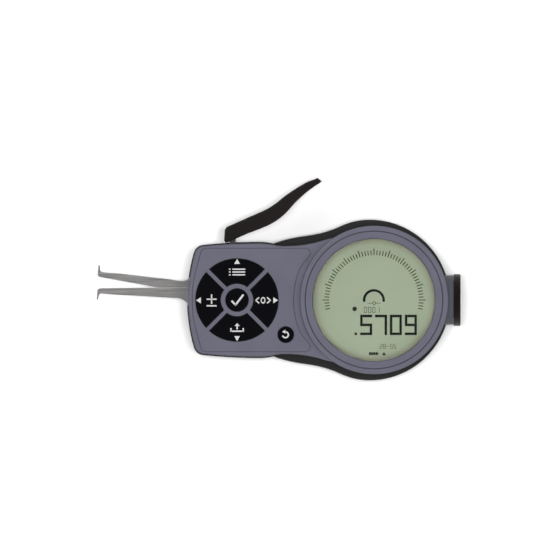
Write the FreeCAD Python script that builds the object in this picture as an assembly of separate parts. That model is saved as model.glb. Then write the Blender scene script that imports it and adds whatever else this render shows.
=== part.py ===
import FreeCAD, Part
import math
import os

Vector = FreeCAD.Vector

# An internal caliper gauge, lying on its back. Sizes are in millimetres and degrees.
# The origin is on the dial's axis in the plane of the back. X runs from the arms to
# the battery cap, Y towards the lever and Z towards the reader.

# Front shell outline, seen from the front
HEAD_RADIUS = 31.3
BODY_END_RADIUS = 71.4
BODY_CORNER_RADIUS = 4.2
CREST_REACH = 48.05
CREST_HALF_WIDTH = 24.2
SIDE_RADIUS = 225.0
WAIST_REACH = 36.7
WAIST_HALF_WIDTH = 22.76

# Rear shell outline
REAR_RIM = 0.3
REAR_HEAD_RADIUS = 33.85
REAR_HEAD_SHIFT = 1.8
LOBE_START_ANGLE = 112.3
LOBE_HOLLOW_RADIUS = 56.0
LOBE_SLOPE = 8.5
LOBE_SWELL_RADIUS = 67.0
LOBE_END_REACH = 44.0

# Shell heights above the back, walls and edges
REAR_TOP = 12.3
SHELL_JOINT = 0.05
KEYPAD_FACE = 26.0
DRUM_FACE = 28.6
REAR_FLOOR = 2.0
WALL = 2.0
CAVITY_SAG = 0.08
FRONT_ROOF = 2.0
BACK_BEVEL = 2.5
FACE_BEVEL = 0.6

# Clearances
RUNNING_FIT = 0.02
SEAT_FIT = 0.02
LOOSE_FIT = 0.15

# How far a cut runs past the face that it opens
OVERCUT = 1.0

# Display
LENS_VIEW_RADIUS = 25.8
LENS_THICKNESS = 1.6
BEZEL_RADIUS = 28.9
BEZEL_PROUD = 0.3
LCD_FLATS = 53.0
LCD_THICKNESS = 1.1
ZEBRA_HEIGHT = 0.5
ZEBRA_LENGTH = 20.0
ZEBRA_WIDTH = 1.2
MAIN_BOARD_THICKNESS = 1.0
HOOK_LEG = 1.6
HOOK_LEG_WIDTH = 5.0
HOOK_NOSE = 0.8
HOOK_NOSE_HEIGHT = 0.7

# Keypad. The body is as long as the dial, the keys and the margins round them.
PANEL_THICKNESS = 1.0
PANEL_HALF_WIDTH = 21.88
PANEL_END_MARGIN = 2.5
PANEL_ARC_RADIUS = 33.85
PAD_END_GAP = 0.65
PAD_DIAL_GAP = 6.3
PANEL_CORNER_RADIUS = 2.0
PANEL_GAP = 0.2
SECTOR_RADIUS = 17.6
RING_RADIUS = 6.8
CENTRE_KEY_RADIUS = 5.0
SPOKE_WIDTH = 1.55
RESET_KEY_RADIUS = 3.55
RESET_KEY_ALONG = 20.55
RESET_KEY_DROP = 14.6
KEY_GAP = 0.12
KEY_PROUD = 0.3
KEY_ROOM = 0.5
KEY_BAR_HEIGHT = 0.7
KEY_BAR_WIDTH = 3.0
SECTOR_BAR_LENGTH = 20.8
CENTRE_BAR_LENGTH = 11.2
RESET_BAR_LENGTH = 8.1
KEY_NUB_WIDTH = 3.0
DOME_WIDTH = 4.4
DOME_HEIGHT = 0.45
KEYPAD_BOARD_THICKNESS = 1.0
KEYPAD_BOARD_GAP = 1.6
KEYPAD_BOARD_MARGIN = 2.0
BOARD_CORNER = 3.0
POST_WIDTH = 3.0
POST_PIN_WIDTH = 1.4
POST_REACH_X = 15.0
POST_REACH_Y = 17.6
FLEX_THICKNESS = 0.2
FLEX_WIDTH = 12.0
FLEX_LAP = 4.0

# Movement plates and what carries them
REAR_PLATE_THICKNESS = 1.5
FRONT_PLATE_LOW = 17.0
FRONT_PLATE_THICKNESS = 1.3
PLATE_GAP = 0.6
PLATE_END_MARGIN = 4.0
PLATE_CORNER = 3.0
PLATE_NOTCH_GAP = 0.2
PILLAR_LEFT = 4.0
PILLAR_LEFT_RISE = 13.75
PILLAR_RIGHT = 15.3
PILLAR_RIGHT_RISE = 10.9
PILLAR_LOW_SHIFT = 3.3
PILLAR_LOW_DROP = 11.7
PILLAR_FLATS = 4.4
STUD_FLATS = 2.4
STUD_PROUD = 0.5
NUT_HEIGHT = 1.7
SENSOR_BOARD_THICKNESS = 0.8
SENSOR_BOARD_MARGIN = 2.6
RIB_WIDTH = 2.0
RIB_DEPTH = 1.6
RIB_HEIGHT = 2.6

# Measuring arms, drawn closed and lying in line with the body
ARM_REACH = 38.1
ARM_THICKNESS = 1.35
ARM_GAP = 0.1
MOVING_ARM_LOW = 13.1
FIXED_TIP_Y = 0.15
CLOSED_GAP = 5.0
OPEN_GAP = 14.5
HOOK_ROOT_WIDTH = 1.05
HOOK_SPREAD = 0.3
HOOK_CORNER = 1.3
ARM_EDGE_AT_TIP = 5.0
ARM_EDGE_AT_ROOT = 5.3
ARM_TIP_WIDTH = 2.2
ARM_ROOT_WIDTH = 4.65
FIXED_ROOT_RADIUS = 6.0
FIXED_ROOT_WIDTH = 10.2
MOVING_ROOT_RADIUS = 5.2
MOVING_ROOT_WIDTH = 7.4
ROOT_INSET = 0.9
FIXED_ROOT_LENGTH = 11.1
CONTACT_RADIUS = 0.35
SLOT_LOW_Y = -6.0
SLOT_HIGH_Y = 10.8
SLOT_MARGIN = 0.2
BLOCK_WIDTH = 4.4
BLOCK_LENGTH = 8.0
BLOCK_SCREW_CORE = 2.4
BLOCK_SCREW_FLATS = 4.4
BLOCK_SCREW_HEAD = 1.0
BLOCK_SCREW_LENGTH = 7.0

# Moving arm's bearing, drive, stop and spring
PIVOT_FROM_END = 17.2
AXLE_RADIUS = 1.5
BUSH_FLATS = 5.6
BUSH_LENGTH = 2.0
COLLAR_FLATS = 6.6
COLLAR_HEIGHT = 1.2
AXLE_END_PLAY = 0.1
HUB_NUT_FLATS = 6.6
HUB_NUT_HEIGHT = 1.5
ARM_BOSS_RADIUS = 5.2
TAIL_WIDTH = 4.2
DRIVE_RATIO = 1.81
DRIVE_PIN_RADIUS = 1.0
STOP_PIN_RADIUS = 1.0
STOP_GAP = 0.04
SPRING_RADIUS = 1.5
SPRING_Z = 10.2
SPRING_FROM_PIVOT = 5.6
SPRING_REACH = 14.0
SPRING_COIL_LENGTH = 8.6
SPRING_WIRE = 0.35
LUG_THICKNESS = 0.9
LUG_WIDTH = 1.2
ENCODER_RADIUS = 10.0
ENCODER_HUB_FLATS = 5.6
ENCODER_SPREAD = 50.0
ENCODER_THICKNESS = 0.6
ENCODER_GAP = 0.5

# Lever
LEVER_FROM_END = 18.9
CRANK_THICKNESS = 1.8
CRANK_GAP = 0.35
CRANK_HUB_RADIUS = 2.4
FORK_WIDTH = 4.6
FORK_END = 1.7
FORK_ROOT = 1.4
STEM_WIDTH = 2.6
STEM_LENGTH = 11.5
STEM_SWING = 1.95
STEM_MARGIN = 0.3
LEVER_AXLE_RADIUS = 1.0
LEVER_SHOULDER_FLATS = 3.4
LEVER_LIFT = 0.55
HANDLE_WIDTH = 12.0
HANDLE_BEVEL = 0.7

# Handle's side view, from its foot where the stem leaves the body
HEEL_LEFT = 2.95
HEEL_RISE = 0.75
HEEL_INSET = 0.65
HEEL_RIGHT = 1.3
HEEL_LIFT = 0.15
BACK_LEFT = 3.2
BACK_HEIGHT = 5.1
BACK_CORNER = 0.9
BACK_CORNER_RISE = 1.35
BLADE_TOP_START = 13.0
BLADE_TOP_START_HEIGHT = 13.2
BLADE_TOP_TURN = 21.0
BLADE_TOP_TURN_HEIGHT = 18.05
BLADE_TOP_DIP = 0.34
BLADE_TOP_CROWN = 0.475
TIP_REACH = 37.1
TIP_HEIGHT = 27.1
TIP_SETBACK = 1.2
TIP_THICKNESS = 1.5
BLADE_LOW_START = 14.4
BLADE_LOW_START_HEIGHT = 7.2
BLADE_LOW_TURN = 23.9
BLADE_LOW_TURN_HEIGHT = 14.4
BLADE_LOW_DIP = 0.67
BLADE_LOW_CROWN = 0.716

# Slot seals
SEAL_THICKNESS = 0.5
SEAL_GAP = 0.25
SEAL_MARGIN = 1.2

# Battery compartment and its cap
SLEEVE_WIDTH = 17.8
SLEEVE_WALL = 0.95
SLEEVE_START_X = -3.5
SLEEVE_FLOOR = 1.5
BORE_RADIUS = 8.1
BOSS_RADIUS = 10.4
BOSS_START_X = 27.0
BOSS_END_X = 33.5
SADDLE_THICKNESS = 1.6
SADDLE_INSET = 5.0
SADDLE_DEPTH = 4.0
CELL_RADIUS = 7.8
CELL_LENGTH = 27.0
CONTACT_STRIP = 0.25
CONTACT_STRIP_WIDTH = 6.0
CONTACT_SPAN = 10.0
CONTACT_RISE = 3.0
CAP_RADIUS = 10.9
CAP_THICKNESS = 3.0
CAP_SLOT_LENGTH = 13.0
CAP_SLOT_WIDTH = 1.8
CAP_SLOT_DEPTH = 1.2
PLUG_LENGTH = 4.6
PLUG_GAP = 0.1
BAYONET_LUG_HEIGHT = 0.6
BAYONET_LUG_LENGTH = 1.2
BAYONET_LUG_WIDTH = 6.0
BAYONET_FROM_END = 2.6
BAYONET_GAP = 0.12

# Housing screws
SCREW_FLATS = 2.4
SCREW_LENGTH = 15.4
SCREW_HEAD_FLATS = 4.3
SCREW_HEAD_HEIGHT = 1.6
SCREW_RECESS = 1.0
SCREW_BOSS_FLATS = 6.8
SCREW_BOSS_TOP = 19.5
LEFT_SCREW_FROM_END = 7.2
LEFT_SCREW_Y = 17.2
HEAD_SCREW_RADIUS = 27.0
HEAD_SCREW_ANGLE = 61.9

# Heights and places worked out from the sizes above
FRONT_LOW = REAR_TOP + SHELL_JOINT
TUBE_Z = REAR_TOP + SHELL_JOINT / 2
ROOF_LOW = KEYPAD_FACE - FRONT_ROOF
PANEL_LOW = KEYPAD_FACE - PANEL_THICKNESS
KEY_BAR_TOP = PANEL_LOW - SEAT_FIT
KEY_LOW = KEY_BAR_TOP - KEY_BAR_HEIGHT
LCD_LOW = ROOF_LOW - LCD_THICKNESS
MAIN_BOARD_TOP = LCD_LOW - ZEBRA_HEIGHT
MAIN_BOARD_LOW = MAIN_BOARD_TOP - MAIN_BOARD_THICKNESS
KEYPAD_BOARD_TOP = ROOF_LOW - KEYPAD_BOARD_GAP
KEYPAD_BOARD_LOW = KEYPAD_BOARD_TOP - KEYPAD_BOARD_THICKNESS
REAR_PLATE_TOP = REAR_FLOOR + REAR_PLATE_THICKNESS
FRONT_PLATE_TOP = FRONT_PLATE_LOW + FRONT_PLATE_THICKNESS
MOVING_ARM_TOP = MOVING_ARM_LOW + ARM_THICKNESS
FIXED_ARM_LOW = MOVING_ARM_TOP + ARM_GAP
FIXED_ARM_TOP = FIXED_ARM_LOW + ARM_THICKNESS
CRANK_LOW = MOVING_ARM_TOP + CRANK_GAP
CRANK_TOP = CRANK_LOW + CRANK_THICKNESS
KEYPAD = Vector(-PANEL_ARC_RADIUS - PAD_DIAL_GAP - SECTOR_RADIUS, 0, 0)
END_X = KEYPAD.x - SECTOR_RADIUS - PAD_END_GAP - PANEL_END_MARGIN
RESET_KEY = KEYPAD + Vector(RESET_KEY_ALONG, -RESET_KEY_DROP, 0)
KEYPAD_BOARD_END = RESET_KEY.x + DOME_WIDTH / 2 + KEYPAD_BOARD_MARGIN
DIAL = Vector(0, 0, 0)
END_CENTRE = Vector(END_X + BODY_END_RADIUS, 0, 0)
SIDE_CENTRE = Vector(-CREST_REACH, CREST_HALF_WIDTH - SIDE_RADIUS, 0)


def body_side_y(x):
    """Half width of the front shell at a place along its long side."""
    return SIDE_CENTRE.y + math.sqrt(SIDE_RADIUS ** 2 - (x - SIDE_CENTRE.x) ** 2)


def polar(centre, radius, degrees):
    angle = math.radians(degrees)
    return centre + Vector(radius * math.cos(angle), radius * math.sin(angle), 0)


def direction(start, end):
    """The angle, from X, of the way from start to end."""
    return math.degrees(math.atan2(end.y - start.y, end.x - start.x))


# The moving arm swings from closed to open, and its tail's pin turns the lever's crank.
# Halfway through the stroke that pin is in line with both pivots, so the ratio hardly varies.
ARM_PIVOT = Vector(END_X + PIVOT_FROM_END, FIXED_TIP_Y + CLOSED_GAP / 2, 0)
ARM_LENGTH = math.hypot(ARM_REACH + PIVOT_FROM_END, CLOSED_GAP / 2)
CLOSED_ANGLE = math.degrees(math.asin(CLOSED_GAP / 2 / ARM_LENGTH))
OPEN_ANGLE = math.degrees(math.asin((OPEN_GAP - CLOSED_GAP / 2) / ARM_LENGTH))
ARM_SWING = OPEN_ANGLE - CLOSED_ANGLE
LEVER_X = END_X + LEVER_FROM_END
INNER_SIDE_Y = body_side_y(LEVER_X) - WALL
LEVER_PIVOT = Vector(LEVER_X, INNER_SIDE_Y - 2 * SEAL_GAP - SEAL_THICKNESS - CRANK_HUB_RADIUS, 0)
PIVOT_DISTANCE = (LEVER_PIVOT - ARM_PIVOT).Length
ARM_CRANK = PIVOT_DISTANCE * DRIVE_RATIO / (1 + DRIVE_RATIO)
LEVER_CRANK = PIVOT_DISTANCE - ARM_CRANK
TAIL_ANGLE = direction(ARM_PIVOT, LEVER_PIVOT) - ARM_SWING / 2
DRIVE_PIN = polar(ARM_PIVOT, ARM_CRANK, TAIL_ANGLE)
STOP_PIN = polar(DRIVE_PIN, TAIL_WIDTH / 2 + STOP_GAP + STOP_PIN_RADIUS, TAIL_ANGLE - 90)
ARM_LUG = polar(ARM_PIVOT, SPRING_FROM_PIVOT, TAIL_ANGLE)
PLATE_LUG = ARM_LUG + Vector(SPRING_REACH, 0, 0)
HANDLE_FOOT = Vector(LEVER_X, body_side_y(LEVER_X) + LEVER_LIFT, 0)

PILLARS = [
    ARM_PIVOT + Vector(-PILLAR_LEFT, PILLAR_LEFT_RISE, 0),
    ARM_PIVOT + Vector(PILLAR_RIGHT, PILLAR_RIGHT_RISE, 0),
    ARM_PIVOT + Vector(PILLAR_LOW_SHIFT, -PILLAR_LOW_DROP, 0),
]
PLATE_END = max(PLATE_LUG.x, PILLARS[1].x) + PLATE_END_MARGIN
SCREWS = [
    Vector(END_X + LEFT_SCREW_FROM_END, LEFT_SCREW_Y, 0),
    Vector(END_X + LEFT_SCREW_FROM_END, -LEFT_SCREW_Y, 0),
    polar(DIAL, HEAD_SCREW_RADIUS, HEAD_SCREW_ANGLE),
    polar(DIAL, HEAD_SCREW_RADIUS, -HEAD_SCREW_ANGLE),
]


# Solids and curves


def disc(centre, radius, low, high):
    """A round solid standing along Z."""
    return Part.makeCylinder(radius, high - low, Vector(centre.x, centre.y, low))


def rod(x_low, x_high, radius):
    """A round solid lying along X on the battery's axis."""
    return Part.makeCylinder(radius, x_high - x_low, Vector(x_low, 0, TUBE_Z), Vector(1, 0, 0))


def block(x_low, x_high, y_low, y_high, low, high):
    return Part.makeBox(x_high - x_low, y_high - y_low, high - low, Vector(x_low, y_low, low))


def square_post(centre, width, low, high):
    half = width / 2
    return block(centre.x - half, centre.x + half, centre.y - half, centre.y + half, low, high)


def prism(wire, low, high):
    """A flat outline, drawn at height zero, raised from low to high."""
    face = Part.Face(wire)
    face.translate(Vector(0, 0, low))
    return face.extrude(Vector(0, 0, high - low))


def polygon(points):
    return Part.makePolygon(points + [points[0]])


def many_sided(sides, centre, flats, low, high):
    """A bar with equal sides, by its width across the flats, one of which faces +X."""
    step = 360 / sides
    radius = flats / 2 / math.cos(math.radians(step / 2))
    corners = [polar(centre, radius, step * (number + 0.5)) for number in range(sides)]
    return prism(polygon(corners), low, high)


def hexagon(centre, flats, low, high):
    return many_sided(6, centre, flats, low, high)


def octagon(centre, flats, low, high):
    return many_sided(8, centre, flats, low, high)


def screw_round(centre, flats, low, high):
    """A small round thing that repeats, drawn with twelve sides."""
    return many_sided(12, centre, flats, low, high)


def towards(start, end, distance):
    """The point at a distance from start, on the way to end."""
    return start + (end - start).normalize() * distance


def arc_about(centre, start, end):
    """The shorter arc from start to end about a centre."""
    middle = (start - centre).normalize() + (end - centre).normalize()
    top = centre + middle.normalize() * (start - centre).Length
    return Part.Arc(start, top, end).toShape()


def line(start, end):
    return Part.LineSegment(start, end).toShape()


def mirrored(point):
    return Vector(point.x, -point.y, point.z)


def joined(edges):
    return Part.Wire(Part.sortEdges(edges)[0])


def with_mirror(edges):
    """The edges and their mirror images across the X axis."""
    lower = [edge.mirror(Vector(0, 0, 0), Vector(0, 1, 0)) for edge in edges]
    return edges + lower


def crossing(centre_a, radius_a, centre_b, radius_b, side):
    """Where two circles meet, to the left of the way from a to b when side is 1."""
    across = centre_b - centre_a
    distance = across.Length
    along = (distance ** 2 + radius_a ** 2 - radius_b ** 2) / (2 * distance)
    height = math.sqrt(radius_a ** 2 - along ** 2)
    unit = across / distance
    return centre_a + unit * along + Vector(-unit.y, unit.x, 0) * height * side


def fused(shapes):
    return shapes[0].multiFuse(shapes[1:]).removeSplitter()


def turned(shape, pivot, degrees):
    copy = shape.copy()
    copy.rotate(pivot, Vector(0, 0, 1), degrees)
    return copy


def laid(shape, place):
    """A shape that stands on the origin, laid along X from a given place."""
    copy = shape.copy()
    copy.rotate(Vector(0, 0, 0), Vector(0, 1, 0), 90)
    copy.translate(place)
    return copy


def level_edges(shape, height):
    """The edges that lie flat at one height."""
    found = []
    for edge in shape.Edges:
        if all(abs(vertex.Z - height) < 1e-4 for vertex in edge.Vertexes):
            found.append(edge)
    return found


# Outlines


def front_wire():
    """The front shell: a curved end, long sides, a drawn-in waist and the round head."""
    inner_end = BODY_END_RADIUS - BODY_CORNER_RADIUS
    inner_side = SIDE_RADIUS - BODY_CORNER_RADIUS
    corner = crossing(END_CENTRE, inner_end, SIDE_CENTRE, inner_side, -1)
    end_stop = towards(END_CENTRE, corner, BODY_END_RADIUS)
    side_start = towards(SIDE_CENTRE, corner, SIDE_RADIUS)
    crest = Vector(-CREST_REACH, CREST_HALF_WIDTH, 0)
    waist = Vector(-WAIST_REACH, WAIST_HALF_WIDTH, 0)
    step = crest - waist
    turn = (crest + waist) / 2
    turn_radius = (step.x ** 2 + step.y ** 2) / (4 * step.y)
    neck_reach = WAIST_REACH ** 2 + WAIST_HALF_WIDTH ** 2 - HEAD_RADIUS ** 2
    neck_radius = neck_reach / (2 * (HEAD_RADIUS - WAIST_HALF_WIDTH))
    neck_centre = waist + Vector(0, neck_radius, 0)
    head_start = towards(DIAL, neck_centre, HEAD_RADIUS)
    upper = [
        arc_about(corner, end_stop, side_start),
        arc_about(SIDE_CENTRE, side_start, crest),
        arc_about(crest - Vector(0, turn_radius, 0), crest, turn),
        arc_about(waist + Vector(0, turn_radius, 0), turn, waist),
        arc_about(neck_centre, waist, head_start),
        arc_about(DIAL, head_start, Vector(HEAD_RADIUS, 0, 0)),
    ]
    end = arc_about(END_CENTRE, mirrored(end_stop), end_stop)
    return joined([end] + with_mirror(upper))


def inset_wire(distance):
    """The front shell's outline moved inwards, or outwards if the distance is negative."""
    return front_wire().makeOffset2D(-distance)


def cavity_wire():
    """The shells' inner wall, a chain of short flats that follows the outline."""
    return polygon(inset_wire(WALL).discretize(Deflection=CAVITY_SAG))


def lobe_wire():
    """The part of the rear shell that stands out round the head and swells towards the body."""
    head = DIAL - Vector(REAR_HEAD_SHIFT, 0, 0)
    start = polar(head, REAR_HEAD_RADIUS, LOBE_START_ANGLE)
    hollow = polar(head, REAR_HEAD_RADIUS + LOBE_HOLLOW_RADIUS, LOBE_START_ANGLE)
    turn = polar(hollow, LOBE_HOLLOW_RADIUS, LOBE_SLOPE - 90)
    swell = polar(turn, LOBE_SWELL_RADIUS, LOBE_SLOPE - 90)
    rise = math.sqrt(LOBE_SWELL_RADIUS ** 2 - (LOBE_END_REACH + swell.x) ** 2)
    stop = Vector(-LOBE_END_REACH, swell.y + rise, 0)
    upper = [
        arc_about(head, head + Vector(REAR_HEAD_RADIUS, 0, 0), start),
        arc_about(hollow, start, turn),
        arc_about(swell, turn, stop),
    ]
    return joined([line(stop, mirrored(stop))] + with_mirror(upper))


def panel_wire(shrink):
    """The keypad panel, whose ends follow the body's end and the dial."""
    end_radius = BODY_END_RADIUS - PANEL_END_MARGIN - shrink
    dial_radius = PANEL_ARC_RADIUS + shrink
    level = PANEL_HALF_WIDTH - shrink - PANEL_CORNER_RADIUS
    left_reach = math.sqrt((end_radius - PANEL_CORNER_RADIUS) ** 2 - level ** 2)
    right_reach = math.sqrt((dial_radius + PANEL_CORNER_RADIUS) ** 2 - level ** 2)
    left = END_CENTRE + Vector(-left_reach, level, 0)
    right = DIAL + Vector(-right_reach, level, 0)
    left_stop = towards(END_CENTRE, left, end_radius)
    right_stop = towards(DIAL, right, dial_radius)
    left_top = left + Vector(0, PANEL_CORNER_RADIUS, 0)
    right_top = right + Vector(0, PANEL_CORNER_RADIUS, 0)
    upper = [
        arc_about(left, left_stop, left_top),
        line(left_top, right_top),
        arc_about(right, right_top, right_stop),
    ]
    end = arc_about(END_CENTRE, mirrored(left_stop), left_stop)
    dial = arc_about(DIAL, mirrored(right_stop), right_stop)
    return joined([end, dial] + with_mirror(upper))


# Shells


def arm_slot():
    """The way through the body's end for both arms."""
    low = MOVING_ARM_LOW - SLOT_MARGIN
    high = FIXED_ARM_TOP + SLOT_MARGIN
    return block(END_X - WALL, END_X + 2 * WALL, SLOT_LOW_Y, SLOT_HIGH_Y, low, high)


def lever_slot():
    """The way through the long side that the lever's stem swings in."""
    left = LEVER_X - STEM_WIDTH / 2 - STEM_MARGIN
    right = LEVER_X + STEM_WIDTH / 2 + STEM_SWING + STEM_MARGIN
    low = CRANK_LOW - STEM_MARGIN
    high = CRANK_TOP + STEM_MARGIN
    return block(left, right, INNER_SIDE_Y - WALL, INNER_SIDE_Y + 2 * WALL, low, high)


def boss_way():
    """The round way through the head's wall for the battery boss."""
    return rod(BOSS_START_X, BOSS_END_X + CAP_THICKNESS, BOSS_RADIUS + SEAT_FIT)


def screw_web(centre, low, high):
    """A web that ties a screw boss to the long wall beside it."""
    wall_y = math.copysign(body_side_y(centre.x) - WALL / 2, centre.y)
    bottom = min(centre.y, wall_y)
    top = max(centre.y, wall_y)
    return block(centre.x - RIB_WIDTH / 2, centre.x + RIB_WIDTH / 2, bottom, top, low, high)


def bevelled(shape, size, height, left_limit):
    """Bevels the flat edges at one height, apart from what lies left of a limit."""
    edges = [edge for edge in level_edges(shape, height) if edge.BoundBox.XMax > left_limit]
    return shape.makeChamfer(size, edges)


def rear_shell():
    body = prism(inset_wire(-REAR_RIM), 0, REAR_TOP)
    body = bevelled(body, BACK_BEVEL, 0, END_X - OVERCUT)
    lobe = prism(lobe_wire(), 0, REAR_TOP)
    lobe = bevelled(lobe, BACK_BEVEL, 0, -LOBE_END_REACH + 0.01)
    shell = fused([body, lobe]).cut(prism(cavity_wire(), REAR_FLOOR, REAR_TOP + OVERCUT))
    additions = [shell]
    for centre in SCREWS:
        additions.append(octagon(centre, SCREW_BOSS_FLATS, REAR_FLOOR / 2, REAR_TOP))
    for centre in SCREWS[:2]:
        additions.append(screw_web(centre, REAR_FLOOR / 2, REAR_TOP))
    sleeve_low = TUBE_Z - SLEEVE_WIDTH / 2 - SEAT_FIT
    for x in (SLEEVE_START_X + SADDLE_INSET, BOSS_START_X - SADDLE_INSET):
        half = SLEEVE_WIDTH / 2 + WALL
        high = sleeve_low + SADDLE_DEPTH
        additions.append(block(x, x + SADDLE_THICKNESS, -half, half, REAR_FLOOR / 2, high))
    half = SLEEVE_WIDTH / 2 + SEAT_FIT
    cuts = [block(SLEEVE_START_X, BOSS_START_X, -half, half, sleeve_low, REAR_TOP + OVERCUT), boss_way()]
    for centre in SCREWS:
        cuts.append(octagon(centre, SCREW_FLATS + LOOSE_FIT, 0, REAR_TOP))
        head_top = SCREW_RECESS + SCREW_HEAD_HEIGHT
        cuts.append(screw_round(centre, SCREW_HEAD_FLATS + 2 * LOOSE_FIT, 0, head_top))
    return fused(additions).cut(cuts)


def board_hook(degrees):
    """A snap hook beside the display, whose nose holds the main board from behind."""
    inner = LCD_FLATS / 2 + LOOSE_FIT
    low = MAIN_BOARD_LOW - HOOK_NOSE_HEIGHT
    half = HOOK_LEG_WIDTH / 2
    leg = block(inner, inner + HOOK_LEG, -half, half, low, ROOF_LOW)
    nose = block(inner - HOOK_NOSE, inner, -half, half, low, MAIN_BOARD_LOW - SEAT_FIT)
    return turned(leg.fuse(nose), DIAL, degrees)


def key_holes(low, high):
    return key_sectors(0, low, high) + [
        disc(KEYPAD, CENTRE_KEY_RADIUS, low, high),
        disc(RESET_KEY, RESET_KEY_RADIUS, low, high),
    ]


def board_posts(width, low, high):
    posts = []
    for side_x in (-1, 1):
        for side_y in (-1, 1):
            centre = KEYPAD + Vector(side_x * POST_REACH_X, side_y * POST_REACH_Y, 0)
            posts.append(square_post(centre, width, low, high))
    return posts


def plate_ribs():
    """Ribs on the long walls that hold the front movement plate down."""
    ribs = []
    for pillar in (PILLARS[0], PILLARS[1]):
        for side in (-1, 1):
            wall_y = body_side_y(pillar.x) - WALL
            bottom = min(side * (wall_y - RIB_DEPTH), side * (wall_y + WALL / 2))
            top = max(side * (wall_y - RIB_DEPTH), side * (wall_y + WALL / 2))
            left = pillar.x - RIB_WIDTH / 2
            low = FRONT_PLATE_TOP + SEAT_FIT
            ribs.append(block(left, left + RIB_WIDTH, bottom, top, low, low + RIB_HEIGHT))
    return ribs


def front_shell():
    body = bevelled(prism(front_wire(), FRONT_LOW, KEYPAD_FACE), FACE_BEVEL, KEYPAD_FACE, END_X - OVERCUT)
    drum = disc(DIAL, HEAD_RADIUS, FRONT_LOW, DRUM_FACE)
    cavity = [
        prism(cavity_wire(), FRONT_LOW - OVERCUT, ROOF_LOW),
        octagon(DIAL, 2 * LENS_VIEW_RADIUS, FRONT_LOW, KEYPAD_FACE + OVERCUT),
        disc(DIAL, BEZEL_RADIUS + SEAT_FIT, KEYPAD_FACE, DRUM_FACE + OVERCUT),
    ]
    shell = fused([body, drum]).cut(cavity)
    additions = [shell]
    for centre in SCREWS:
        additions.append(octagon(centre, SCREW_BOSS_FLATS, FRONT_LOW, SCREW_BOSS_TOP))
    for centre in SCREWS[:2]:
        additions.append(screw_web(centre, FRONT_LOW, SCREW_BOSS_TOP))
    additions += board_posts(POST_WIDTH, KEYPAD_BOARD_TOP, ROOF_LOW + SEAT_FIT)
    additions += board_posts(POST_PIN_WIDTH, KEYPAD_BOARD_LOW - SEAT_FIT, ROOF_LOW)
    additions += [board_hook(degrees) for degrees in (45, 135, 225, 315)]
    additions += plate_ribs()
    cuts = [prism(panel_wire(0), PANEL_LOW, KEYPAD_FACE + OVERCUT), arm_slot(), lever_slot(), boss_way()]
    pad_room = 2 * (SECTOR_RADIUS + KEY_ROOM)
    reset_room = 2 * (RESET_KEY_RADIUS + 2 * KEY_ROOM)
    cuts.append(octagon(KEYPAD, pad_room, ROOF_LOW - OVERCUT, KEYPAD_FACE))
    cuts.append(octagon(RESET_KEY, reset_room, ROOF_LOW - OVERCUT, KEYPAD_FACE))
    for centre in SCREWS:
        hole_end = SCREW_RECESS + SCREW_LENGTH + OVERCUT
        cuts.append(octagon(centre, SCREW_FLATS + SEAT_FIT, FRONT_LOW - OVERCUT, hole_end))
    return fused(additions).cut(cuts)


def housing_screws():
    """The four screws that draw both shells together, their threads drawn as eight-sided cores."""
    screws = []
    for centre in SCREWS:
        head_top = SCREW_RECESS + SCREW_HEAD_HEIGHT
        head = screw_round(centre, SCREW_HEAD_FLATS, SCREW_RECESS, head_top - SEAT_FIT)
        shank = octagon(centre, SCREW_FLATS, SCREW_RECESS, SCREW_RECESS + SCREW_LENGTH)
        screws.append(head.fuse(shank).removeSplitter())
    return Part.makeCompound(screws)


# Display


def display_lens():
    return disc(DIAL, BEZEL_RADIUS, KEYPAD_FACE, KEYPAD_FACE + LENS_THICKNESS)


def display_bezel():
    """The ring that clamps the lens."""
    low = KEYPAD_FACE + LENS_THICKNESS
    high = DRUM_FACE + BEZEL_PROUD
    return disc(DIAL, BEZEL_RADIUS, low, high).cut(disc(DIAL, LENS_VIEW_RADIUS, low, high))


def lcd_panel():
    return octagon(DIAL, LCD_FLATS, LCD_LOW, ROOF_LOW)


def zebra_strips():
    """Rubber strips that carry the display's signals down to the main board."""
    strips = []
    for side in (-1, 1):
        outer = side * (LCD_FLATS / 2 - ZEBRA_WIDTH / 2)
        inner = outer - side * ZEBRA_WIDTH
        low_y = min(inner, outer)
        high_y = low_y + ZEBRA_WIDTH
        reach = ZEBRA_LENGTH / 2
        strips.append(block(-reach, reach, low_y, high_y, MAIN_BOARD_TOP, LCD_LOW))
    return Part.makeCompound(strips)


def main_board():
    return octagon(DIAL, LCD_FLATS, MAIN_BOARD_LOW, MAIN_BOARD_TOP)


# Keypad


def key_sectors(grow, low, high):
    """The four sectors round the centre key, grown on every side."""
    ring = disc(KEYPAD, SECTOR_RADIUS + grow, low, high)
    ring = ring.cut(disc(KEYPAD, RING_RADIUS - grow, low, high))
    reach = 2 * SECTOR_RADIUS
    half = SPOKE_WIDTH / 2 - grow
    spoke = block(KEYPAD.x - reach, KEYPAD.x + reach, -half, half, low, high)
    return ring.cut([turned(spoke, KEYPAD, 45), turned(spoke, KEYPAD, 135)]).Solids


def key_from(cap, bar_length, centre, degrees):
    """A key cap with the bar that keeps it under the panel and the nub that works its dome."""
    half = bar_length / 2
    width = KEY_BAR_WIDTH / 2
    bar = block(centre.x - width, centre.x + width, centre.y - half, centre.y + half, KEY_LOW, KEY_BAR_TOP)
    nub = square_post(centre, KEY_NUB_WIDTH, KEYPAD_BOARD_TOP + DOME_HEIGHT + SEAT_FIT, KEY_BAR_TOP)
    return fused([cap, turned(bar, centre, degrees), nub])


def sector_centre(number):
    return polar(KEYPAD, (SECTOR_RADIUS + RING_RADIUS) / 2, 90 * number)


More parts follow.
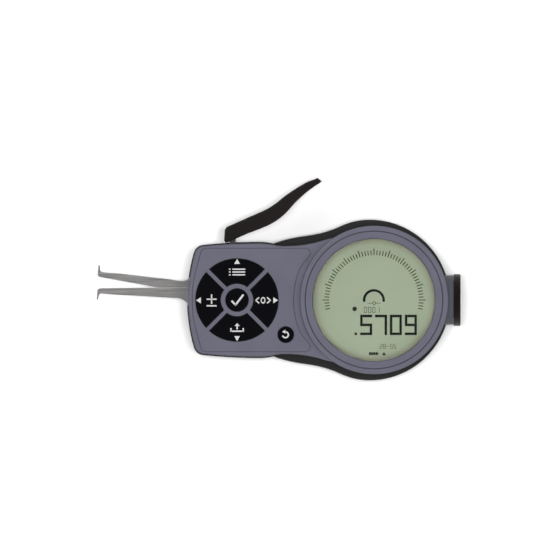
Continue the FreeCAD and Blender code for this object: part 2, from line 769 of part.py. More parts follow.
def sector_key(number):
    """A sector key, numbered by quarter turns from the right one."""
    centre = sector_centre(number)
    caps = key_sectors(-KEY_GAP, KEY_LOW, KEYPAD_FACE + KEY_PROUD)
    cap = min(caps, key=lambda solid: (solid.CenterOfMass - centre).Length)
    return key_from(cap, SECTOR_BAR_LENGTH, centre, 90 * number)


def round_key(centre, radius, bar_length):
    cap = disc(centre, radius - KEY_GAP, KEY_LOW, KEYPAD_FACE + KEY_PROUD)
    return key_from(cap, bar_length, centre, 0)


def keypad_panel():
    panel = prism(panel_wire(PANEL_GAP), PANEL_LOW, KEYPAD_FACE)
    return panel.cut(key_holes(ROOF_LOW, KEYPAD_FACE + OVERCUT))


def inner_plate(right, corner, low, high):
    """A flat piece in the body's cavity, from its end to a given X, widest beside the lever."""
    half = body_side_y(END_X + corner) - WALL - PLATE_GAP
    end_reach = math.sqrt((BODY_END_RADIUS - WALL - PLATE_GAP) ** 2 - (half - corner) ** 2)
    end = END_CENTRE.x - end_reach
    points = [
        Vector(end, half - corner, 0),
        Vector(end + corner, half, 0),
        Vector(LEVER_X, body_side_y(LEVER_X) - WALL - PLATE_GAP, 0),
        Vector(right, WAIST_HALF_WIDTH - WALL - PLATE_GAP, 0),
    ]
    lower = [mirrored(point) for point in reversed(points)]
    return prism(polygon(points + lower), low, high)


def keypad_board():
    board = inner_plate(KEYPAD_BOARD_END, BOARD_CORNER, KEYPAD_BOARD_LOW, KEYPAD_BOARD_TOP)
    return board.cut(board_posts(POST_PIN_WIDTH + SEAT_FIT, KEYPAD_BOARD_LOW, KEYPAD_BOARD_TOP))


def key_domes():
    """Snap domes with cut corners, one under each key."""
    domes = []
    high = KEYPAD_BOARD_TOP + DOME_HEIGHT
    for centre in [sector_centre(number) for number in range(4)] + [KEYPAD, RESET_KEY]:
        domes.append(octagon(centre, DOME_WIDTH, KEYPAD_BOARD_TOP, high))
    return Part.makeCompound(domes)


def flex_cable():
    """The flat cable from the keypad board to the main board, soldered under both."""
    end = -LCD_FLATS / 2
    route = [
        Vector(KEYPAD_BOARD_END - FLEX_LAP, 0, KEYPAD_BOARD_LOW),
        Vector(KEYPAD_BOARD_END, 0, KEYPAD_BOARD_LOW),
        Vector(end, 0, MAIN_BOARD_LOW),
        Vector(end + FLEX_LAP, 0, MAIN_BOARD_LOW),
    ]
    lower = [point - Vector(0, 0, FLEX_THICKNESS) for point in reversed(route)]
    face = Part.Face(polygon(route + lower))
    face.translate(Vector(0, -FLEX_WIDTH / 2, 0))
    return face.extrude(Vector(0, FLEX_WIDTH, 0))


# Movement plates


def movement_plate(low, high):
    """A plate of the movement, cut clear of the screw bosses, with its bush and axle holes."""
    plate = inner_plate(PLATE_END, PLATE_CORNER, low, high)
    room = SCREW_BOSS_FLATS / 2 + PLATE_NOTCH_GAP
    cuts = [
        hexagon(ARM_PIVOT, BUSH_FLATS + SEAT_FIT, low, high),
        disc(LEVER_PIVOT, LEVER_AXLE_RADIUS + SEAT_FIT, low, high),
        block(END_X, SCREWS[0].x + room, SCREWS[0].y - room, CREST_HALF_WIDTH, low, high),
        block(END_X, SCREWS[1].x + room, -CREST_HALF_WIDTH, SCREWS[1].y + room, low, high),
    ]
    return plate.cut(cuts)


def rear_plate():
    """The rear plate, with the lug that holds the spring's far end."""
    lug = block(
        PLATE_LUG.x - LUG_THICKNESS / 2,
        PLATE_LUG.x + LUG_THICKNESS / 2,
        PLATE_LUG.y - LUG_WIDTH / 2,
        PLATE_LUG.y + LUG_WIDTH / 2,
        REAR_FLOOR,
        SPRING_Z + SPRING_RADIUS,
    )
    return fused([movement_plate(REAR_FLOOR, REAR_PLATE_TOP), lug])


def front_plate():
    low = FRONT_PLATE_LOW
    high = FRONT_PLATE_TOP
    holes = [octagon(centre, STUD_FLATS + SEAT_FIT, low, high) for centre in PILLARS]
    return movement_plate(low, high).cut(holes)


def plate_pillars():
    """Six-sided pillars with studs that carry the front plate and the sensor board."""
    pillars = []
    stud_top = FRONT_PLATE_TOP + NUT_HEIGHT + SENSOR_BOARD_THICKNESS + STUD_PROUD
    for centre in PILLARS:
        bar = hexagon(centre, PILLAR_FLATS, REAR_PLATE_TOP, FRONT_PLATE_LOW)
        pillars.append(bar.fuse(octagon(centre, STUD_FLATS, FRONT_PLATE_LOW, stud_top)))
    return Part.makeCompound(pillars)


def pillar_nuts():
    nuts = []
    for centre in PILLARS:
        nut = hexagon(centre, PILLAR_FLATS, FRONT_PLATE_TOP, FRONT_PLATE_TOP + NUT_HEIGHT)
        bore = octagon(centre, STUD_FLATS + SEAT_FIT, FRONT_PLATE_TOP, FRONT_PLATE_TOP + NUT_HEIGHT)
        nuts.append(nut.cut(bore))
    return Part.makeCompound(nuts)


def sensor_board():
    """The board that reads the encoder sector, lying on the pillars' nuts."""
    low = FRONT_PLATE_TOP + NUT_HEIGHT
    high = low + SENSOR_BOARD_THICKNESS
    xs = [centre.x for centre in PILLARS]
    ys = [centre.y for centre in PILLARS]
    margin = SENSOR_BOARD_MARGIN
    board = block(min(xs) - margin, max(xs) + margin, min(ys) - margin, max(ys) + margin, low, high)
    return board.cut([octagon(centre, STUD_FLATS + SEAT_FIT, low, high) for centre in PILLARS])


# Measuring arms


def arm_wire(root_radius, root_width, stop_x):
    """A hooked arm drawn closed: its outer edge up, its hook down and splayed, its root flared."""
    tip_left = END_X - ARM_REACH - CONTACT_RADIUS
    tip_right = END_X - ARM_REACH + CONTACT_RADIUS
    left = tip_left + HOOK_SPREAD
    right = left + HOOK_ROOT_WIDTH
    root_x = END_X + ROOT_INSET
    hook_end = FIXED_TIP_Y + CONTACT_RADIUS
    edge_slope = (ARM_EDGE_AT_ROOT - ARM_EDGE_AT_TIP) / (root_x - right)
    lower_slope = (ARM_ROOT_WIDTH - ARM_TIP_WIDTH) / (root_x - right) - edge_slope
    low_at_tip = ARM_EDGE_AT_TIP - ARM_TIP_WIDTH
    flare_x = root_x - root_radius
    flare = Vector(flare_x, low_at_tip - lower_slope * (flare_x - right), 0)
    flare_centre = Vector(flare_x, flare.y - root_radius, 0)
    corner_centre = Vector(left + HOOK_CORNER, ARM_EDGE_AT_TIP - HOOK_CORNER, 0)
    root_low = ARM_EDGE_AT_ROOT - root_width
    flare_reach = math.sqrt(root_radius ** 2 - (root_low - flare_centre.y) ** 2)
    points = {
        "hook_left": Vector(tip_left, hook_end, 0),
        "corner_left": Vector(left, corner_centre.y, 0),
        "corner_top": Vector(corner_centre.x, ARM_EDGE_AT_TIP, 0),
        "edge_root": Vector(root_x, ARM_EDGE_AT_ROOT, 0),
        "stop_top": Vector(stop_x, ARM_EDGE_AT_ROOT, 0),
        "stop_low": Vector(stop_x, root_low, 0),
        "root_low": Vector(flare_x + flare_reach, root_low, 0),
        "hook_inner": Vector(right, low_at_tip, 0),
        "hook_right": Vector(tip_right, hook_end, 0),
    }
    edges = [
        line(points["hook_left"], points["corner_left"]),
        arc_about(corner_centre, points["corner_left"], points["corner_top"]),
        line(points["corner_top"], points["edge_root"]),
        line(points["edge_root"], points["stop_top"]),
        line(points["stop_top"], points["stop_low"]),
        line(points["stop_low"], points["root_low"]),
        arc_about(flare_centre, points["root_low"], flare),
        line(flare, points["hook_inner"]),
        line(points["hook_inner"], points["hook_right"]),
        line(points["hook_right"], points["hook_left"]),
    ]
    return joined(edges)


def contact_tip(low, high):
    """The hard-metal tip on the hook's end, round where it measures."""
    centre = Vector(END_X - ARM_REACH, FIXED_TIP_Y + CONTACT_RADIUS, 0)
    left = centre - Vector(CONTACT_RADIUS, 0, 0)
    right = centre + Vector(CONTACT_RADIUS, 0, 0)
    lowest = centre - Vector(0, CONTACT_RADIUS, 0)
    return prism(joined([Part.Arc(left, lowest, right).toShape(), line(right, left)]), low, high)


def arm_block_screw_centre():
    return Vector(END_X + FIXED_ROOT_LENGTH - BLOCK_LENGTH / 2, block_low_y() + BLOCK_WIDTH / 2, 0)


def block_low_y():
    return ARM_EDGE_AT_ROOT - FIXED_ROOT_WIDTH


def fixed_arm():
    wire = arm_wire(FIXED_ROOT_RADIUS, FIXED_ROOT_WIDTH, END_X + FIXED_ROOT_LENGTH)
    centre = arm_block_screw_centre()
    hole = octagon(centre, BLOCK_SCREW_CORE + LOOSE_FIT, FIXED_ARM_LOW, FIXED_ARM_TOP)
    return prism(wire, FIXED_ARM_LOW, FIXED_ARM_TOP).cut(hole)


def fixed_contact():
    return contact_tip(FIXED_ARM_LOW, FIXED_ARM_TOP)


def fixed_arm_block():
    """The block that carries the fixed arm above the rear plate."""
    right = END_X + FIXED_ROOT_LENGTH
    low_y = block_low_y()
    carrier = block(right - BLOCK_LENGTH, right, low_y, low_y + BLOCK_WIDTH, REAR_PLATE_TOP, FIXED_ARM_LOW)
    thread = octagon(
        arm_block_screw_centre(),
        BLOCK_SCREW_CORE + SEAT_FIT,
        FIXED_ARM_TOP - BLOCK_SCREW_LENGTH - OVERCUT,
        FIXED_ARM_LOW,
    )
    return carrier.cut(thread)


def fixed_arm_screw():
    centre = arm_block_screw_centre()
    head = hexagon(centre, BLOCK_SCREW_FLATS, FIXED_ARM_TOP, FIXED_ARM_TOP + BLOCK_SCREW_HEAD)
    shank = octagon(centre, BLOCK_SCREW_CORE, FIXED_ARM_TOP - BLOCK_SCREW_LENGTH, FIXED_ARM_TOP)
    return head.fuse(shank)


def opened(shape):
    """A piece of the moving arm, turned over from the fixed arm's side and swung open."""
    copy = shape.mirror(ARM_PIVOT, Vector(0, 1, 0))
    return turned(copy, ARM_PIVOT, -ARM_SWING)


def arm_lug(low):
    lug = block(
        ARM_LUG.x - LUG_THICKNESS / 2,
        ARM_LUG.x + LUG_THICKNESS / 2,
        ARM_LUG.y - LUG_WIDTH / 2,
        ARM_LUG.y + LUG_WIDTH / 2,
        low,
        MOVING_ARM_TOP,
    )
    return lug


def moving_arm():
    """The moving arm, its boss on the axle and its tail up to the drive pin."""
    wire = arm_wire(MOVING_ROOT_RADIUS, MOVING_ROOT_WIDTH, ARM_PIVOT.x)
    arm = opened(prism(wire, MOVING_ARM_LOW, MOVING_ARM_TOP))
    boss = disc(ARM_PIVOT, ARM_BOSS_RADIUS, MOVING_ARM_LOW, MOVING_ARM_TOP)
    half = TAIL_WIDTH / 2
    tail = block(
        ARM_PIVOT.x,
        ARM_PIVOT.x + ARM_CRANK,
        ARM_PIVOT.y - half,
        ARM_PIVOT.y + half,
        MOVING_ARM_LOW,
        MOVING_ARM_TOP,
    )
    tail = turned(tail, ARM_PIVOT, TAIL_ANGLE)
    tail_end = disc(DRIVE_PIN, half, MOVING_ARM_LOW, MOVING_ARM_TOP)
    whole = fused([arm, boss, tail, tail_end, arm_lug(SPRING_Z - SPRING_RADIUS)])
    cuts = [
        disc(ARM_PIVOT, AXLE_RADIUS + SEAT_FIT, MOVING_ARM_LOW, MOVING_ARM_TOP),
        disc(DRIVE_PIN, DRIVE_PIN_RADIUS + SEAT_FIT, MOVING_ARM_LOW, MOVING_ARM_TOP),
    ]
    return whole.cut(cuts)


def moving_contact():
    return opened(contact_tip(MOVING_ARM_LOW, MOVING_ARM_TOP))


def arm_axle():
    """The axle that the moving arm is clamped on, with the six-sided collar under the arm."""
    low = REAR_FLOOR + AXLE_END_PLAY
    high = FRONT_PLATE_TOP + ENCODER_GAP
    collar = hexagon(ARM_PIVOT, COLLAR_FLATS, MOVING_ARM_LOW - COLLAR_HEIGHT, MOVING_ARM_LOW)
    return disc(ARM_PIVOT, AXLE_RADIUS, low, high).fuse(collar)


def hub_nut():
    top = MOVING_ARM_TOP + HUB_NUT_HEIGHT
    nut = hexagon(ARM_PIVOT, HUB_NUT_FLATS, MOVING_ARM_TOP, top)
    return nut.cut(disc(ARM_PIVOT, AXLE_RADIUS + SEAT_FIT, MOVING_ARM_TOP, top))


def axle_bush(low):
    """A six-sided bush set in a plate, in which the axle turns."""
    bush = hexagon(ARM_PIVOT, BUSH_FLATS, low, low + BUSH_LENGTH)
    return bush.cut(disc(ARM_PIVOT, AXLE_RADIUS + RUNNING_FIT, low, low + BUSH_LENGTH))


def axle_bush_rear():
    return axle_bush(REAR_FLOOR)


def axle_bush_front():
    return axle_bush(FRONT_PLATE_TOP - BUSH_LENGTH)


def drive_pin():
    return disc(DRIVE_PIN, DRIVE_PIN_RADIUS, MOVING_ARM_LOW, CRANK_TOP)


def stop_pin():
    """The pin that the arm's tail rests on when the arms are open."""
    return disc(STOP_PIN, STOP_PIN_RADIUS, REAR_PLATE_TOP, MOVING_ARM_TOP)


def spring_eye(centre, coil_x):
    """A square eye round a lug, with its shank back to the coil."""
    low = SPRING_Z - SPRING_WIRE / 2
    high = SPRING_Z + SPRING_WIRE / 2
    hole_x = LUG_THICKNESS / 2 + LOOSE_FIT
    hole_y = LUG_WIDTH / 2 + LOOSE_FIT
    hole = block(centre.x - hole_x, centre.x + hole_x, centre.y - hole_y, centre.y + hole_y, low, high)
    wide_x = hole_x + SPRING_WIRE
    wide_y = hole_y + SPRING_WIRE
    ring = block(centre.x - wide_x, centre.x + wide_x, centre.y - wide_y, centre.y + wide_y, low, high)
    half = SPRING_WIRE / 2
    near = centre.x + math.copysign(wide_x, coil_x - centre.x)
    shank = block(min(near, coil_x), max(near, coil_x), centre.y - half, centre.y + half, low, high)
    return ring.cut(hole).fuse(shank)


def measuring_spring():
    """The spring that draws the moving arm open, its coils shown as their outer sleeve."""
    middle = (ARM_LUG.x + PLATE_LUG.x) / 2
    start = middle - SPRING_COIL_LENGTH / 2
    coil = octagon(DIAL, 2 * SPRING_RADIUS, 0, SPRING_COIL_LENGTH)
    coil = laid(coil, Vector(start, ARM_LUG.y, SPRING_Z))
    left = spring_eye(ARM_LUG, start)
    right = spring_eye(PLATE_LUG, start + SPRING_COIL_LENGTH)
    return fused([coil, left, right])


def encoder_sector():
    """The graduated sector fixed on the axle's end, read by the sensor board."""
    low = FRONT_PLATE_TOP + ENCODER_GAP
    high = low + ENCODER_THICKNESS
    start = polar(ARM_PIVOT, ENCODER_RADIUS, -ENCODER_SPREAD / 2)
    end = polar(ARM_PIVOT, ENCODER_RADIUS, ENCODER_SPREAD / 2)
    outline = [line(ARM_PIVOT, start), arc_about(ARM_PIVOT, start, end), line(end, ARM_PIVOT)]
    fan = prism(joined(outline), low, high)
    return fused([fan, hexagon(ARM_PIVOT, ENCODER_HUB_FLATS, low, high)])


def arm_slot_seal():
    """The rubber frame behind the arm slot, curved like the wall it lies on."""
    outer = BODY_END_RADIUS - WALL - SEAL_GAP
    low = FRONT_LOW + SEAT_FIT
    high = FRONT_PLATE_LOW - SEAT_FIT
    ring = disc(END_CENTRE, outer, low, high).cut(disc(END_CENTRE, outer - SEAL_THICKNESS, low, high))
    low_y = SLOT_LOW_Y - 2 * SEAL_MARGIN
    reach = block(END_X, END_X + 3 * WALL, low_y, SLOT_HIGH_Y + SEAL_MARGIN, low, high)
    return ring.common(reach).cut(arm_slot())


# Lever


def lever_crank():
    """The steel crank: a hub, a fork down to the drive pin and a stem up to the handle."""
    hub = disc(LEVER_PIVOT, CRANK_HUB_RADIUS, CRANK_LOW, CRANK_TOP)
    half = FORK_WIDTH / 2
    pin_way = DRIVE_PIN_RADIUS + RUNNING_FIT
    end = LEVER_CRANK + FORK_END
    fork = block(0, end, -half, half, CRANK_LOW, CRANK_TOP)
    fork = fork.cut(block(LEVER_CRANK - FORK_ROOT, end + OVERCUT, -pin_way, pin_way, CRANK_LOW, CRANK_TOP))
    fork.translate(LEVER_PIVOT)
    fork = turned(fork, LEVER_PIVOT, direction(LEVER_PIVOT, DRIVE_PIN))
    stem = block(
        LEVER_X - STEM_WIDTH / 2,
        LEVER_X + STEM_WIDTH / 2,
        LEVER_PIVOT.y,
        LEVER_PIVOT.y + STEM_LENGTH,
        CRANK_LOW,
        CRANK_TOP,
    )
    bore = disc(LEVER_PIVOT, LEVER_AXLE_RADIUS + RUNNING_FIT, CRANK_LOW, CRANK_TOP)
    return fused([hub, fork, stem]).cut(bore)


def lever_axle():
    """A shouldered pin between the plates that the crank turns on."""
    pin = disc(LEVER_PIVOT, LEVER_AXLE_RADIUS, REAR_FLOOR + SEAT_FIT, FRONT_PLATE_TOP)
    shoulder = hexagon(LEVER_PIVOT, LEVER_SHOULDER_FLATS, REAR_PLATE_TOP, CRANK_LOW - 2 * RUNNING_FIT)
    return pin.fuse(shoulder)


def bulged(start, end, rise):
    """An arc from start to end that rises to the left of the straight way between them."""
    across = end - start
    left = Vector(-across.y, across.x, 0).normalize()
    return Part.Arc(start, (start + end) / 2 + left * rise, end).toShape()


def handle_wire():
    """The handle's side view: a thick heel, a straight back and a blade that turns up to a thin tip."""
    heel_left = Vector(-HEEL_LEFT, HEEL_RISE, 0)
    heel_low = Vector(HEEL_INSET - HEEL_LEFT, 0, 0)
    heel_right = Vector(-HEEL_RIGHT, HEEL_LIFT, 0)
    back_left = Vector(-BACK_LEFT, BACK_HEIGHT, 0)
    back_top = back_left + Vector(BACK_CORNER, BACK_CORNER_RISE, 0)
    top_start = Vector(BLADE_TOP_START, BLADE_TOP_START_HEIGHT, 0)
    top_turn = Vector(BLADE_TOP_TURN, BLADE_TOP_TURN_HEIGHT, 0)
    tip_top = Vector(TIP_REACH - TIP_SETBACK, TIP_HEIGHT, 0)
    tip_low = Vector(TIP_REACH, TIP_HEIGHT - TIP_THICKNESS, 0)
    low_start = Vector(BLADE_LOW_START, BLADE_LOW_START_HEIGHT, 0)
    low_turn = Vector(BLADE_LOW_TURN, BLADE_LOW_TURN_HEIGHT, 0)
    edges = [
        line(heel_low, heel_left),
        line(heel_left, back_left),
        line(back_left, back_top),
        line(back_top, top_start),
        bulged(top_start, top_turn, -BLADE_TOP_DIP),
        bulged(top_turn, tip_top, BLADE_TOP_CROWN),
        line(tip_top, tip_low),
        bulged(low_turn, tip_low, BLADE_LOW_CROWN),
        bulged(low_start, low_turn, -BLADE_LOW_DIP),
        line(low_start, heel_right),
        line(heel_right, heel_low),
    ]
    wire = joined(edges)
    wire.translate(HANDLE_FOOT)
    return wire


def lift_lever():
    """The moulded handle, with a pocket that the crank's stem is set in."""
    middle = (CRANK_LOW + CRANK_TOP) / 2
    low = middle - HANDLE_WIDTH / 2
    high = middle + HANDLE_WIDTH / 2
    handle = prism(handle_wire(), low, high)
    handle = handle.makeChamfer(HANDLE_BEVEL, level_edges(handle, low) + level_edges(handle, high))
    half = STEM_WIDTH / 2 + SEAT_FIT
    pocket = block(
        LEVER_X - half,
        LEVER_X + half,
        LEVER_PIVOT.y,
        LEVER_PIVOT.y + STEM_LENGTH + SEAT_FIT,
        CRANK_LOW - SEAT_FIT,
        CRANK_TOP + SEAT_FIT,
    )
    return handle.cut(pocket)


def lever_slot_seal():
    """The rubber frame under the lever slot."""
    slot = lever_slot().BoundBox
    top = INNER_SIDE_Y - SEAL_GAP
    frame = block(
        slot.XMin - SEAL_MARGIN,
        slot.XMax + SEAL_MARGIN,
        top - SEAL_THICKNESS,
        top,
        slot.ZMin - SEAL_MARGIN,
        FRONT_PLATE_LOW - SEAT_FIT,
    )
    return frame.cut(lever_slot())


# Battery compartment


def bayonet_ways():
    """The chamber behind the boss's lip, and the two entries for the cap's lugs."""
    radius = BORE_RADIUS + BAYONET_LUG_HEIGHT + BAYONET_GAP
    end = BOSS_END_X - BAYONET_FROM_END
    half = BAYONET_LUG_WIDTH / 2 + BAYONET_GAP
    entry = block(end, BOSS_END_X, -radius, radius, TUBE_Z - half, TUBE_Z + half)
    return [rod(BOSS_START_X + WALL, end, radius), entry]


def square_bar(x_low, x_high, width):
    half = width / 2
    return block(x_low, x_high, -half, half, TUBE_Z - half, TUBE_Z + half)


def battery_tube():
    """The square sleeve for the cell, with the round boss that shows outside the head."""
    sleeve = square_bar(SLEEVE_START_X, BOSS_START_X + SEAT_FIT, SLEEVE_WIDTH)
    boss = rod(BOSS_START_X + SEAT_FIT, BOSS_END_X, BOSS_RADIUS)
    room = square_bar(SLEEVE_START_X + SLEEVE_FLOOR, BOSS_START_X + WALL, SLEEVE_WIDTH - 2 * SLEEVE_WALL)
    bore = rod(BOSS_START_X + WALL, BOSS_END_X, BORE_RADIUS)
    return fused([sleeve, boss]).cut([room, bore] + bayonet_ways())


def battery_cell():
    start = SLEEVE_START_X + SLEEVE_FLOOR + CONTACT_RISE + CONTACT_STRIP + SEAT_FIT
    return rod(start, start + CELL_LENGTH, CELL_RADIUS)


def battery_contact():
    """A bowed contact strip at the tube's floor, under the cell."""
    base = SLEEVE_START_X + SLEEVE_FLOOR
    half = CONTACT_SPAN / 2
    edges = []
    ends = []
    for shift in (0, CONTACT_STRIP):
        low = Vector(base + shift, 0, TUBE_Z - half)
        top = Vector(base + shift, 0, TUBE_Z + half)
        crown = Vector(base + shift + CONTACT_RISE, 0, TUBE_Z)
        edges.append(Part.Arc(low, crown, top).toShape())
        ends.append((low, top))
    edges.append(line(ends[0][0], ends[1][0]))
    edges.append(line(ends[0][1], ends[1][1]))
    face = Part.Face(joined(edges))
    face.translate(Vector(0, -CONTACT_STRIP_WIDTH / 2, 0))
    return face.extrude(Vector(0, CONTACT_STRIP_WIDTH, 0))


def battery_cap():
    """The cap and its plug: a quarter turn brings the lugs to the boss's entries."""
    start = BOSS_END_X + PLUG_GAP / 2
    end = BOSS_END_X + CAP_THICKNESS
    cap = rod(start, end, CAP_RADIUS)
    plug_flats = 2 * (BORE_RADIUS - PLUG_GAP) * math.cos(math.radians(22.5))
    plug = octagon(DIAL, plug_flats, 0, PLUG_LENGTH + start - BOSS_END_X)
    plug = laid(plug, Vector(BOSS_END_X - PLUG_LENGTH, 0, TUBE_Z))
    lug_end = BOSS_END_X - BAYONET_FROM_END - BAYONET_GAP
    lug_start = lug_end - BAYONET_LUG_LENGTH
    half = BAYONET_LUG_WIDTH / 2
    across = block(lug_start, lug_end, -half, half, TUBE_Z - CAP_RADIUS, TUBE_Z + CAP_RADIUS)
    lugs = rod(lug_start, lug_end, BORE_RADIUS + BAYONET_LUG_HEIGHT).common(across)
    slot_half = CAP_SLOT_WIDTH / 2
    slot_reach = CAP_SLOT_LENGTH / 2
    slot = block(end - CAP_SLOT_DEPTH, end, -slot_reach, slot_reach, TUBE_Z - slot_half, TUBE_Z + slot_half)
    return fused([cap, plug, lugs]).cut(slot)


PIECES = {
    "rear_shell": rear_shell,
    "front_shell": front_shell,
    "housing_screws": housing_screws,
    "display_lens": display_lens,
    "display_bezel": display_bezel,
    "lcd_panel": lcd_panel,
    "zebra_strips": zebra_strips,
    "main_board": main_board,
    "keypad_panel": keypad_panel,
    "key_right": lambda: sector_key(0),
    "key_up": lambda: sector_key(1),
    "key_left": lambda: sector_key(2),
    "key_down": lambda: sector_key(3),
    "key_centre": lambda: round_key(KEYPAD, CENTRE_KEY_RADIUS, CENTRE_BAR_LENGTH),
    "key_reset": lambda: round_key(RESET_KEY, RESET_KEY_RADIUS, RESET_BAR_LENGTH),
    "keypad_board": keypad_board,
    "key_domes": key_domes,
    "flex_cable": flex_cable,
    "rear_plate": rear_plate,
    "front_plate": front_plate,
    "plate_pillars": plate_pillars,
    "pillar_nuts": pillar_nuts,
    "sensor_board": sensor_board,
    "fixed_arm": fixed_arm,
    "fixed_contact": fixed_contact,
    "fixed_arm_block": fixed_arm_block,
    "fixed_arm_screw": fixed_arm_screw,
    "moving_arm": moving_arm,
    "moving_contact": moving_contact,
    "arm_axle": arm_axle,
    "hub_nut": hub_nut,
    "axle_bush_rear": axle_bush_rear,
    "axle_bush_front": axle_bush_front,
    "drive_pin": drive_pin,
    "stop_pin": stop_pin,
    "measuring_spring": measuring_spring,
    "encoder_sector": encoder_sector,
    "arm_slot_seal": arm_slot_seal,
    "lever_crank": lever_crank,
    "lever_axle": lever_axle,
    "lift_lever": lift_lever,
    "lever_slot_seal": lever_slot_seal,
    "battery_tube": battery_tube,
    "battery_cell": battery_cell,
    "battery_contact": battery_contact,
    "battery_cap": battery_cap,
}


def main():
    os.makedirs("parts", exist_ok=True)
    for name, build in PIECES.items():
        build().exportStep("parts/" + name + ".step")
    print("arm swing", round(ARM_SWING, 3), "arm pivot", ARM_PIVOT, "lever pivot", LEVER_PIVOT)


main()
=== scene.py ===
"""An internal caliper gauge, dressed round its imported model.

The file is laid out as a Blender add-on: each group of pieces has its own operator, and
the sizes and colours that a user would change are scene properties. Lengths are metres.
"""

import bmesh
import bpy
import math
from mathutils import Matrix, Vector


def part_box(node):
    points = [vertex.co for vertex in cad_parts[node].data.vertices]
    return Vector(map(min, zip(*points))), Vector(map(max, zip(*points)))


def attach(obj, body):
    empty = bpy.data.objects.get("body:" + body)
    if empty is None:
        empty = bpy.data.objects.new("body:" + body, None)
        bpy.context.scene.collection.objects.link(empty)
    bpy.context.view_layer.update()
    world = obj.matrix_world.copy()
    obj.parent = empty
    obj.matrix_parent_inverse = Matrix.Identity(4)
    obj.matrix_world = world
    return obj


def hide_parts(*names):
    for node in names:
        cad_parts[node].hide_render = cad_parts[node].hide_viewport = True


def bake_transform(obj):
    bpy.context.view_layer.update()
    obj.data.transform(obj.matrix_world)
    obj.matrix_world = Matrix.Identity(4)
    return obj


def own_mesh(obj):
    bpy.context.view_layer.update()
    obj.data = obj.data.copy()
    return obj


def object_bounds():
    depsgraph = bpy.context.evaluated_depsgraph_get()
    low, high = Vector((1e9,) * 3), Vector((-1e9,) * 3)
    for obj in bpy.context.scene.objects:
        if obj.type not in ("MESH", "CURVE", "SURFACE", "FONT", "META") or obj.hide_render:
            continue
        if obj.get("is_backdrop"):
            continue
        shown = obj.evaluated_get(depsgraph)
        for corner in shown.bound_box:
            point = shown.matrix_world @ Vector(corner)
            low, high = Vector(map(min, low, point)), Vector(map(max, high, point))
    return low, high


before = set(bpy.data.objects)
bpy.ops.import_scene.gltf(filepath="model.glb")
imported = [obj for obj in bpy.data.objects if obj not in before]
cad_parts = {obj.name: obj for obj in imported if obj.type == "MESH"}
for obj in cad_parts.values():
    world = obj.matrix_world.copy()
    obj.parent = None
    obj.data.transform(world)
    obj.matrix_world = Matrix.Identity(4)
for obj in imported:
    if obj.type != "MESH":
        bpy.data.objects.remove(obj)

bl_info = {
    "name": "Internal Caliper Gauge",
    "version": (1, 0, 0),
    "blender": (4, 5, 0),
    "location": "3D View > Sidebar > Caliper",
    "description": "Dresses the packed model of an internal caliper gauge",
    "category": "Object",
}

MM = 0.001
CAD_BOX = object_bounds()

# The photographed view: its width, its pixels across and the place at its middle
PHOTO_WIDTH = 236.04 * MM
PHOTO_PIXELS = 560
PHOTO_CENTRE = (-39.62 * MM, 8.43 * MM)
PIXEL = PHOTO_WIDTH / PHOTO_PIXELS

# Steps round a large, a middle and a small circle and up a rounded edge, and the angle in degrees
# from which an edge is sharp
CIRCLE_STEPS = 160
MIDDLE_STEPS = 48
SMALL_STEPS = 32
ROUND_STEPS = 6
CREASE = 32

# The close ring beside a rounded edge, the gap of a seat, and how far a tool reaches past its work
SUPPORT = 0.04 * MM
FIT = 0.02 * MM
OVERLAP = 1.0 * MM


def mm(*values):
    """Millimetres, given in metres."""
    return tuple(value * MM for value in values)


def length(name, description, default, **more):
    return bpy.props.FloatProperty(
        name=name, description=description, default=default, unit="LENGTH", precision=5, **more
    )


def colour(name, description, default):
    return bpy.props.FloatVectorProperty(
        name=name, description=description, default=default, subtype="COLOR", size=3, min=0, max=1
    )


class CaliperSizes(bpy.types.PropertyGroup):
    """Sizes of the looks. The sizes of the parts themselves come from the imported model."""

    wall: length("Wall", "Thickness of both shells", 2.0 * MM)
    front_edge: length("Front edge", "Rounding of the front shell's upper edge", 0.9 * MM)
    rear_lip: length("Rear lip", "How far the rear shell stands out round the front shell", 0.25 * MM)
    back_edge: length("Back edge", "Rounding of the rear shell's back edge", 2.5 * MM)
    seam: length("Seam", "Rounding of both shells where they meet", 0.3 * MM)
    drum_edge: length("Drum edge", "Rounding of the drum's upper edge", 0.7 * MM)
    bezel_edge: length("Bezel edge", "Rounding of the bezel's outer edge", 0.35 * MM)
    bezel_slope: length("Bezel slope", "Width of the bezel's sloping inner edge", 0.7 * MM)
    key_edge: length("Key edge", "Rounding of the keys' upper edges", 0.22 * MM)
    print_height: length("Print height", "Thickness of printed marks", 0.03 * MM)
    arm_edge: length("Arm edge", "Rounding of the measuring arms' long edges", 0.12 * MM)
    handle_edge: length("Handle edge", "Rounding of the lever's handle", 0.7 * MM)
    cap_edge: length("Cap edge", "Rounding of the battery cap", 0.5 * MM)
    tick_width: length("Tick width", "Width of the display's scale ticks", 0.38 * MM)
    dot_size: length("Dot size", "Width of a dot in the display's large digits", 1.12 * MM)


